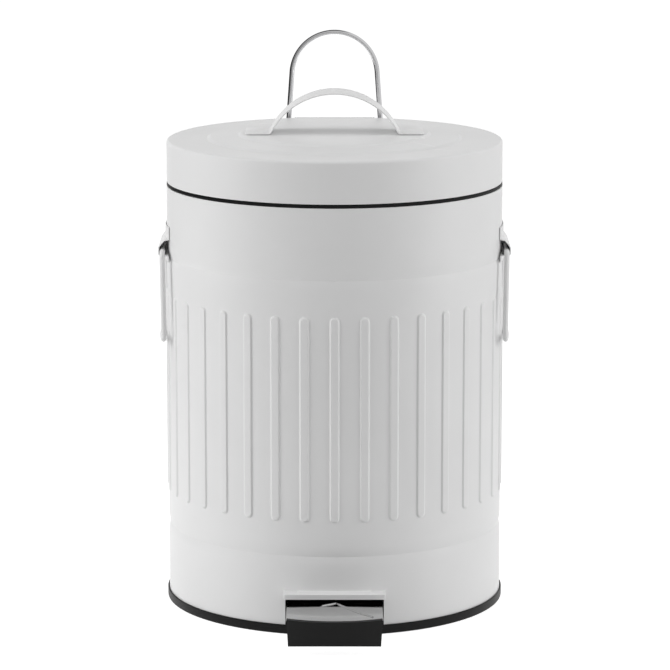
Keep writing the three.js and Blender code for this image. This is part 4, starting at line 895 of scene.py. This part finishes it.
def pedal_lever():
    lip_half = 25.5
    lip = skins(steps_between(-lip_half, lip_half, 60), [PLATE_TOP - 11.4, PLATE_TOP - 11, PLATE_TOP - 0.6],
                lambda x, z: (x, arc_y(x) + 0.02, z), lambda x, z: (x, arc_y(x, -PEDAL_SHEET), z))
    arm, slope, bend = pedal_arm()
    top = PLATE_TOP + slope * (PIVOT_Y + 4 - bend) - 0.7
    ear = [(PIVOT_Y + 4 * math.cos(turn), PIVOT_Z + 4 * math.sin(turn))
           for turn in steps_between(0, -math.pi, 20)] + [(PIVOT_Y - 4, top), (PIVOT_Y + 4, top)]
    ears = [plate(ear, x, x + PEDAL_SHEET, side_on, [circle(CHEEK_HOLE, (PIVOT_Y, PIVOT_Z), 28)])
            for x in (-ARM_HALF + 0.01, ARM_HALF - PEDAL_SHEET - 0.01)]
    foot = PLATE_TOP + slope * (ROD_Y - bend) - 0.7
    tab = [(ROD_Y - 1 + 4 * math.cos(turn), ROD_LOWER_Z + 4 * math.sin(turn))
           for turn in steps_between(0, math.pi, 20)] + [(ROD_Y - 5, foot), (ROD_Y + 3, foot)]
    tab = plate(tab, 2.6, 2.6 + PEDAL_SHEET, side_on, [circle(2.1, (ROD_Y, ROD_LOWER_Z), 28)])
    dress("pedal_lever", [pedal_plate(), lip, arm, *ears, tab], bevel=0.2)


def pedal_pad():
    """The moulded boot round the lip at the front of the pedal."""
    front, back, room = 3.3, -3.3, 0.3
    low, slope = PLATE_TOP - 14.3, 0.288  # the lower edge falls towards the middle
    half, lip_room = PLATE_HALF - 0.2, 25.8

    def section(x):
        shoulder = PLATE_TOP - PEDAL_SHEET - room
        cavity = 9.2 if abs(x) < lip_room else shoulder
        nose = arc_y(x, front) - pad_low.y
        inner = arc_y(x, room) - pad_low.y
        return [
            (front, PLATE_TOP), (front, low - slope * nose), (room, low - slope * inner),
            (room - 0.05, 7.5), (back, 7.5), (back, shoulder), (-1.8, shoulder), (-1.8, cavity),
            (room, cavity), (room, PLATE_TOP),
        ]

    sides = [way * (lip_room + step) for way in (-1, 1) for step in (-0.01, 0.01)]
    columns = merged(steps_between(-half, half, 64) + sides, 0.015)
    points = []
    for x in columns:
        for offset, z in section(x):
            narrow = 1 - 1.2 / half * (1 - z / PLATE_TOP)
            points.append((x * narrow, arc_y(x, offset), z))
    dress("pedal_pad", [(points, run_faces(len(section(0)), len(columns)))], bevel=0.45)


def pedal_bracket():
    low, high = span("pedal_bracket")
    base = rounded([(low.x, low.y), (high.x, low.y), (high.x, high.y), (low.x, high.y)], 2, 5,
                   closed=True)
    holes = [circle(SCREW_HOLE, (x, PIVOT_Y), 24) for x in (-SCREW_X, SCREW_X)]
    cheek = [(PIVOT_Y - 6, low.z + 0.05), (PIVOT_Y + 6, low.z + 0.05)]
    cheek += [(PIVOT_Y + 3.5 * math.cos(turn), PIVOT_Z + 3.5 * math.sin(turn))
              for turn in steps_between(0, math.pi, 20)]
    cheeks = [plate(cheek, x, x + 1.2, side_on, [circle(CHEEK_HOLE, (PIVOT_Y, PIVOT_Z), 28)])
              for x in (-15.4, 14.2)]
    dress("pedal_bracket", [plate(base, low.z, low.z + 1.2, level, holes), *cheeks], bevel=0.12)
    for side, x in (("left", -SCREW_X), ("right", SCREW_X)):
        node = f"pedal_bracket_screw_{side}"
        low, high = span(node)
        line = [(0, low.z), (0.7, low.z), (1.4, low.z + 0.8), (1.4, high.z - 1.5), (2.8, high.z - 1.5)]
        line += [(2.8 * math.cos(turn), high.z - 1 + math.sin(turn))
                 for turn in steps_between(0, math.pi / 2, 8)]
        slot = plate([(-4, -0.35), (4, -0.35), (4, 0.35), (-4, 0.35)], high.z - 0.7, high.z + 1, level)
        place = upright(x, PIVOT_Y)
        dress(node, [placed(lathe(line, 40), place)], cutters=[placed(slot, place)])
    headed_pin("pedal_axle", pivot_high.x, 3, along_x(PIVOT_Y, PIVOT_Z))


# ---------------------------------------------------------------- inner bucket


bucket_low, bucket_high = span("inner_bucket")
bail_high = span("bucket_bail")[1]
BAIL_RADIUS = 1.4
BAIL_Z = PIVOT_OF["bucket_bail_swing"].z


def inner_bucket():
    wall = 1.4
    rim = bucket_high.x
    top, bottom = rim - 4, rim - 11.5
    flange = rim_high.z + SEAT
    outside = [(0, bucket_low.z), (bottom, bucket_low.z), (top, flange), (rim, flange),
               (rim, flange + wall)]
    inside = [(top - wall, flange + wall), (bottom - wall, bucket_low.z + wall), (0, bucket_low.z + wall)]
    profile = rounded(outside + inside, [0, 3, 0.6, 0.5, 0.5, 0.8, 2.2, 0], 5)
    ears = []
    for side in (-1, 1):
        outline = rounded([(-4, flange + 0.7), (-4, bucket_high.z), (4, bucket_high.z),
                           (4, flange + 0.7)], [0, 1.6, 1.6, 0], 5)
        ends = sorted((side * (top - wall), side * (top + 0.1)))
        ears.append(plate(outline, *ends, side_on, [circle(1.6, (0, BAIL_Z), 24)]))
    dress("inner_bucket", [lathe(profile, 200), *ears], bevel=0.15)


def bucket_bail():
    radius, end = bail_high.x - BAIL_RADIUS, bucket_high.x - 7.4
    start = math.degrees(math.asin(8 / radius))
    bow = [(radius * math.sin(turn), -radius * math.cos(turn), BAIL_Z)
           for turn in map(math.radians, steps_between(start - 90, 90 - start, 90))]
    corners = [(-end, 0, BAIL_Z), (-radius, 0, BAIL_Z), *bow, (radius, 0, BAIL_Z), (end, 0, BAIL_Z)]
    path = rounded(corners, [0, 1.5, *[0] * len(bow), 1.5, 0], 8)
    dress("bucket_bail", [wire(path, BAIL_RADIUS, (0, 0, 1))])


# ---------------------------------------------------------------- handles


def carry_handle():
    high = span("carry_handle")[1]
    radius, bow, splay = HANDLE_WIRE, 27.2, math.radians(4)
    foot, top = PIVOT_OF["carry_handle_fold"].z, high.z - radius
    y = PIVOT_OF["carry_handle_fold"].y
    centre = top - bow
    arc = [(bow * math.cos(turn), y, centre + bow * math.sin(turn))
           for turn in steps_between(math.pi - splay, splay, 72)]
    corner = arc[-1][0] + (arc[-1][2] - foot) * math.tan(splay)
    end = BRACKET_HALF - SHEET - 1.7
    corners = [(-end, y, foot), (-corner, y, foot), *arc, (corner, y, foot), (end, y, foot)]
    path = rounded(corners, [0, 4, *[0] * len(arc), 4, 0], 10)
    dress("carry_handle", [wire(path, radius, (0, 1, 0), 28)])


def side_handles():
    """Each handle hangs by its bar in a pressed ear. Both are drawn for the right side."""
    wire_radius, sheet = HANDLE_WIRE, 0.6
    clear = SHELL_RADIUS + SEAT
    bar_x = clear + wire_radius
    low = span("ear_handle_right")[0]
    bar_z, bottom = PIVOT_OF["side_handle_right_swing"].z, low.z + wire_radius
    leg_x, half_bar, half_foot = bar_x - 1.05, 26.3, 34
    bow = [(leg_x + 2 * (1 - part * part), half_foot * part, bottom)
           for part in [0.6 - 0.1 * k for k in range(13)]]
    corners = [(bar_x, 0.4, bar_z), (bar_x, half_bar, bar_z), (leg_x, half_foot, bottom), *bow,
               (leg_x, -half_foot, bottom), (bar_x, -half_bar, bar_z), (bar_x, -0.4, bar_z)]
    path = rounded(corners, [0, 3.5, 6, *[0] * len(bow), 6, 3.5, 0], 10)
    handle = wire(path, wire_radius, (1, 0, 0), 24)

    ear_low, ear_high = span("ear_bracket_right")
    out = ear_high.x
    face = clear + sheet
    roof, foot = bar_z + 7.35, bar_z - 2.75
    tunnel = rounded([(face, ear_high.z), (face, roof), (out - 1.4, bar_z + 4.55),
                      (out, bar_z + 2.35), (out, bar_z - 1.75), (out - 1, foot), (face, foot),
                      (face, ear_low.z)], [0, 1.2, 1.5, 1.2, 0.8, 0.6, 0.5, 0], 5)
    inside = beside(tunnel, sheet)
    half, tab_half = 22.5, 24

    def surface(line):
        def point(y, row):
            x, z = line[row]
            on_wall = 1 - smoothstep(face - 0.05, face + 0.35, tunnel[row][0])
            if not foot < tunnel[row][1] < roof:
                on_wall = 1
            return x - on_wall * (face - math.sqrt(face ** 2 - y ** 2)), y, z
        return point

    def kept(y, next_y, row, next_row):
        above = min(tunnel[row][1], tunnel[next_row][1]) > bar_z + 7
        return above or abs(y + next_y) / 2 < half

    columns = merged(steps_between(-tab_half, tab_half, 48) + [-half, half], 0.1)
    ear = skins(columns, range(len(tunnel)), surface(tunnel), surface(inside), kept)
    for side, sign in (("right", 1), ("left", -1)):
        turn = (lambda x, y, z, sign=sign: (sign * x, sign * y, z))
        dress(f"ear_handle_{side}", [placed(handle, turn)])
        dress(f"ear_bracket_{side}", [placed(ear, turn)], bevel=0.1)


base_tray()
outer_shell()
rim_ring()
lid()
lid_strap_handle()
lid_hinge_leaf()
hinge_bracket()
headed_pin("hinge_pin", pin_high.x, 2.9, along_x(PIN_Y, PIN_Z))
for name in ("leaf_rivet_left", "leaf_rivet_right"):
    rivet(name, LID_RADIUS - SHEET, LID_RADIUS + SEAT + SHEET)
for name in ("lower_left", "upper_left", "lower_right", "upper_right"):
    rivet(f"bracket_rivet_{name}", SHELL_RADIUS - SHEET, SHELL_RADIUS + SEAT + SHEET)
push_rod()
pedal_lever()
pedal_pad()
pedal_bracket()
inner_bucket()
bucket_bail()
carry_handle()
side_handles()

# ---------------------------------------------------------------- studio


FLOOR_COLOUR = 0.66
NEAR_FLOOR = (0.55, 0.85)  # metal sees the floor white within the first of these distances
FLOOR_DROP = 0.0002  # keeps the floor clear of the tray
FLOOR_GLOW = 0.8


def floor():
    """A wide pale floor that shows white to the camera and keeps the bin's shadow."""
    half = 8.0
    mesh = bpy.data.meshes.new("floor")
    corners = [(-half, -half), (half, -half), (half, half), (-half, half)]
    mesh.from_pydata([(x, y, -FLOOR_DROP) for x, y in corners], [], [(0, 1, 2, 3)])
    plane = bpy.data.objects.new("floor", mesh)
    bpy.context.scene.collection.objects.link(plane)
    material = bpy.data.materials.new("studio_floor")
    material.use_nodes = True
    tree = material.node_tree
    shader = tree.nodes["Principled BSDF"]
    shader.inputs["Roughness"].default_value = 0.9
    shader.inputs["Specular IOR Level"].default_value = 0
    shader.inputs["Emission Color"].default_value = (1, 1, 1, 1)
    seen = seen_directly(tree)
    place = tree.nodes.new("ShaderNodeTexCoord").outputs["Object"]
    distance = vector_node(tree, "LENGTH", place, "Value")
    offset = vector_node(tree, "SUBTRACT", place, "Vector", EYE_LEVEL)
    towards = vector_node(tree, "NORMALIZE", offset, "Vector")
    near = map_range(tree, distance, *NEAR_FLOOR, 1.0, 0.0)
    tone = math_node(tree, "MAXIMUM", room_tone(tree, towards), near)
    glow = math_node(tree, "MULTIPLY", math_node(tree, "MULTIPLY", tone, FLOOR_GLOW), seen)
    tree.links.new(glow, shader.inputs["Emission Strength"])
    lit = math_node(tree, "MULTIPLY", seen, math_node(tree, "SUBTRACT", 1.0, tone))
    shade = tree.nodes.new("ShaderNodeCombineColor")
    grey = math_node(tree, "MULTIPLY", math_node(tree, "SUBTRACT", 1.0, lit), FLOOR_COLOUR)
    for channel in ("Red", "Green", "Blue"):
        tree.links.new(grey, shade.inputs[channel])
    tree.links.new(shade.outputs["Color"], shader.inputs["Base Color"])
    mesh.materials.append(material)


def seen_directly(tree):
    """1 on rays from the camera and on those that metal or glass sends on."""
    rays = tree.nodes.new("ShaderNodeLightPath")
    total = rays.outputs["Is Camera Ray"]
    for name in ("Is Glossy Ray", "Is Transmission Ray"):
        total = math_node(tree, "MAXIMUM", total, rays.outputs[name])
    return total


AMBIENT = 0.38
ROOM_TONES = (0.05, 0.7)  # how bright metal sees the room, from its left to its upper right
FLAG_NORMAL = (0.259, 0.966, 0.0)  # a black flag hangs over the bin and down on its left
FLAG_EDGE = (0.34, 0.42)
EYE_LEVEL = (0, 0, 0.3)  # from where the room is seen in the metal of the handle


def vector_node(tree, operation, vector, output, other=(0, 0, 0)):
    node = tree.nodes.new("ShaderNodeVectorMath")
    node.operation = operation
    node.inputs[1].default_value = other
    tree.links.new(vector, node.inputs[0])
    return node.outputs[output]


def facing(tree, direction, axis):
    """How far a direction points along an axis."""
    return vector_node(tree, "DOT_PRODUCT", direction, "Value", axis)


def room_tone(tree, direction):
    """White for the camera. Metal shows white behind the bin and a darker room with a flag."""
    side = map_range(tree, facing(tree, direction, (0.6, 0, 0.5)), -0.6, 0.5, *ROOM_TONES)
    flag = math_node(tree, "ABSOLUTE", facing(tree, direction, FLAG_NORMAL))
    flag = math_node(tree, "MAXIMUM", map_range(tree, flag, *FLAG_EDGE, 0.04, 1.0),
                     map_range(tree, facing(tree, direction, (1, 0, 0)), 0.15, 0.4, 0.0, 1.0))
    white = map_range(tree, facing(tree, direction, (0, 1, 0)), 0.8, 0.92, 0.0, 1.0)
    white = math_node(tree, "MAXIMUM", tree.nodes.new("ShaderNodeLightPath").outputs["Is Camera Ray"],
                      white)
    return math_node(tree, "MAXIMUM", math_node(tree, "MULTIPLY", side, flag), white)


def world():
    """A white surround behind the bin, a darker room before it and soft grey light all round."""
    surround = bpy.data.worlds.new("studio")
    bpy.context.scene.world = surround
    surround.use_nodes = True
    tree = surround.node_tree
    background = tree.nodes["Background"]
    background.inputs["Color"].default_value = (1, 1, 1, 1)
    shown = room_tone(tree, tree.nodes.new("ShaderNodeTexCoord").outputs["Generated"])
    strength = tree.nodes.new("ShaderNodeMix")
    strength.inputs["A"].default_value = AMBIENT
    tree.links.new(seen_directly(tree), strength.inputs["Factor"])
    tree.links.new(shown, strength.inputs["B"])
    tree.links.new(strength.outputs["Result"], background.inputs["Strength"])


def softbox(name, place, target, width, height, power):
    light = bpy.data.lights.new(name, "AREA")
    light.shape, light.size, light.size_y, light.energy = "RECTANGLE", width, height, power
    lamp = bpy.data.objects.new(name, light)
    lamp.location = place
    lamp.rotation_euler = (Vector(target) - Vector(place)).to_track_quat("-Z", "Y").to_euler()
    lamp.visible_camera = lamp.visible_glossy = False
    bpy.context.scene.collection.objects.link(lamp)


def camera():
    """The photograph's viewpoint, fitted to the outlines of the lid, shell and base."""
    data = bpy.data.cameras.new("camera")
    data.sensor_width, data.lens, data.shift_x = 36, 194.82, 0.00067
    eye = bpy.data.objects.new("camera", data)
    eye.location = (0, -2.1923, 0.57998)
    eye.rotation_euler = (math.radians(79.2252), 0, 0)
    bpy.context.scene.collection.objects.link(eye)
    bpy.context.scene.camera = eye


floor()
world()
softbox("left_box", (-1.3, -0.35, 0.6), (0, 0, 0.15), 0.9, 1.4, 13)
softbox("right_box", (1.3, -0.35, 0.6), (0, 0, 0.15), 0.9, 1.4, 10.2)
softbox("top_box", (0, 0.1, 1.6), (0, 0, 0.2), 1.0, 1.0, 3)
camera()
bpy.context.scene.view_settings.view_transform = "Standard"
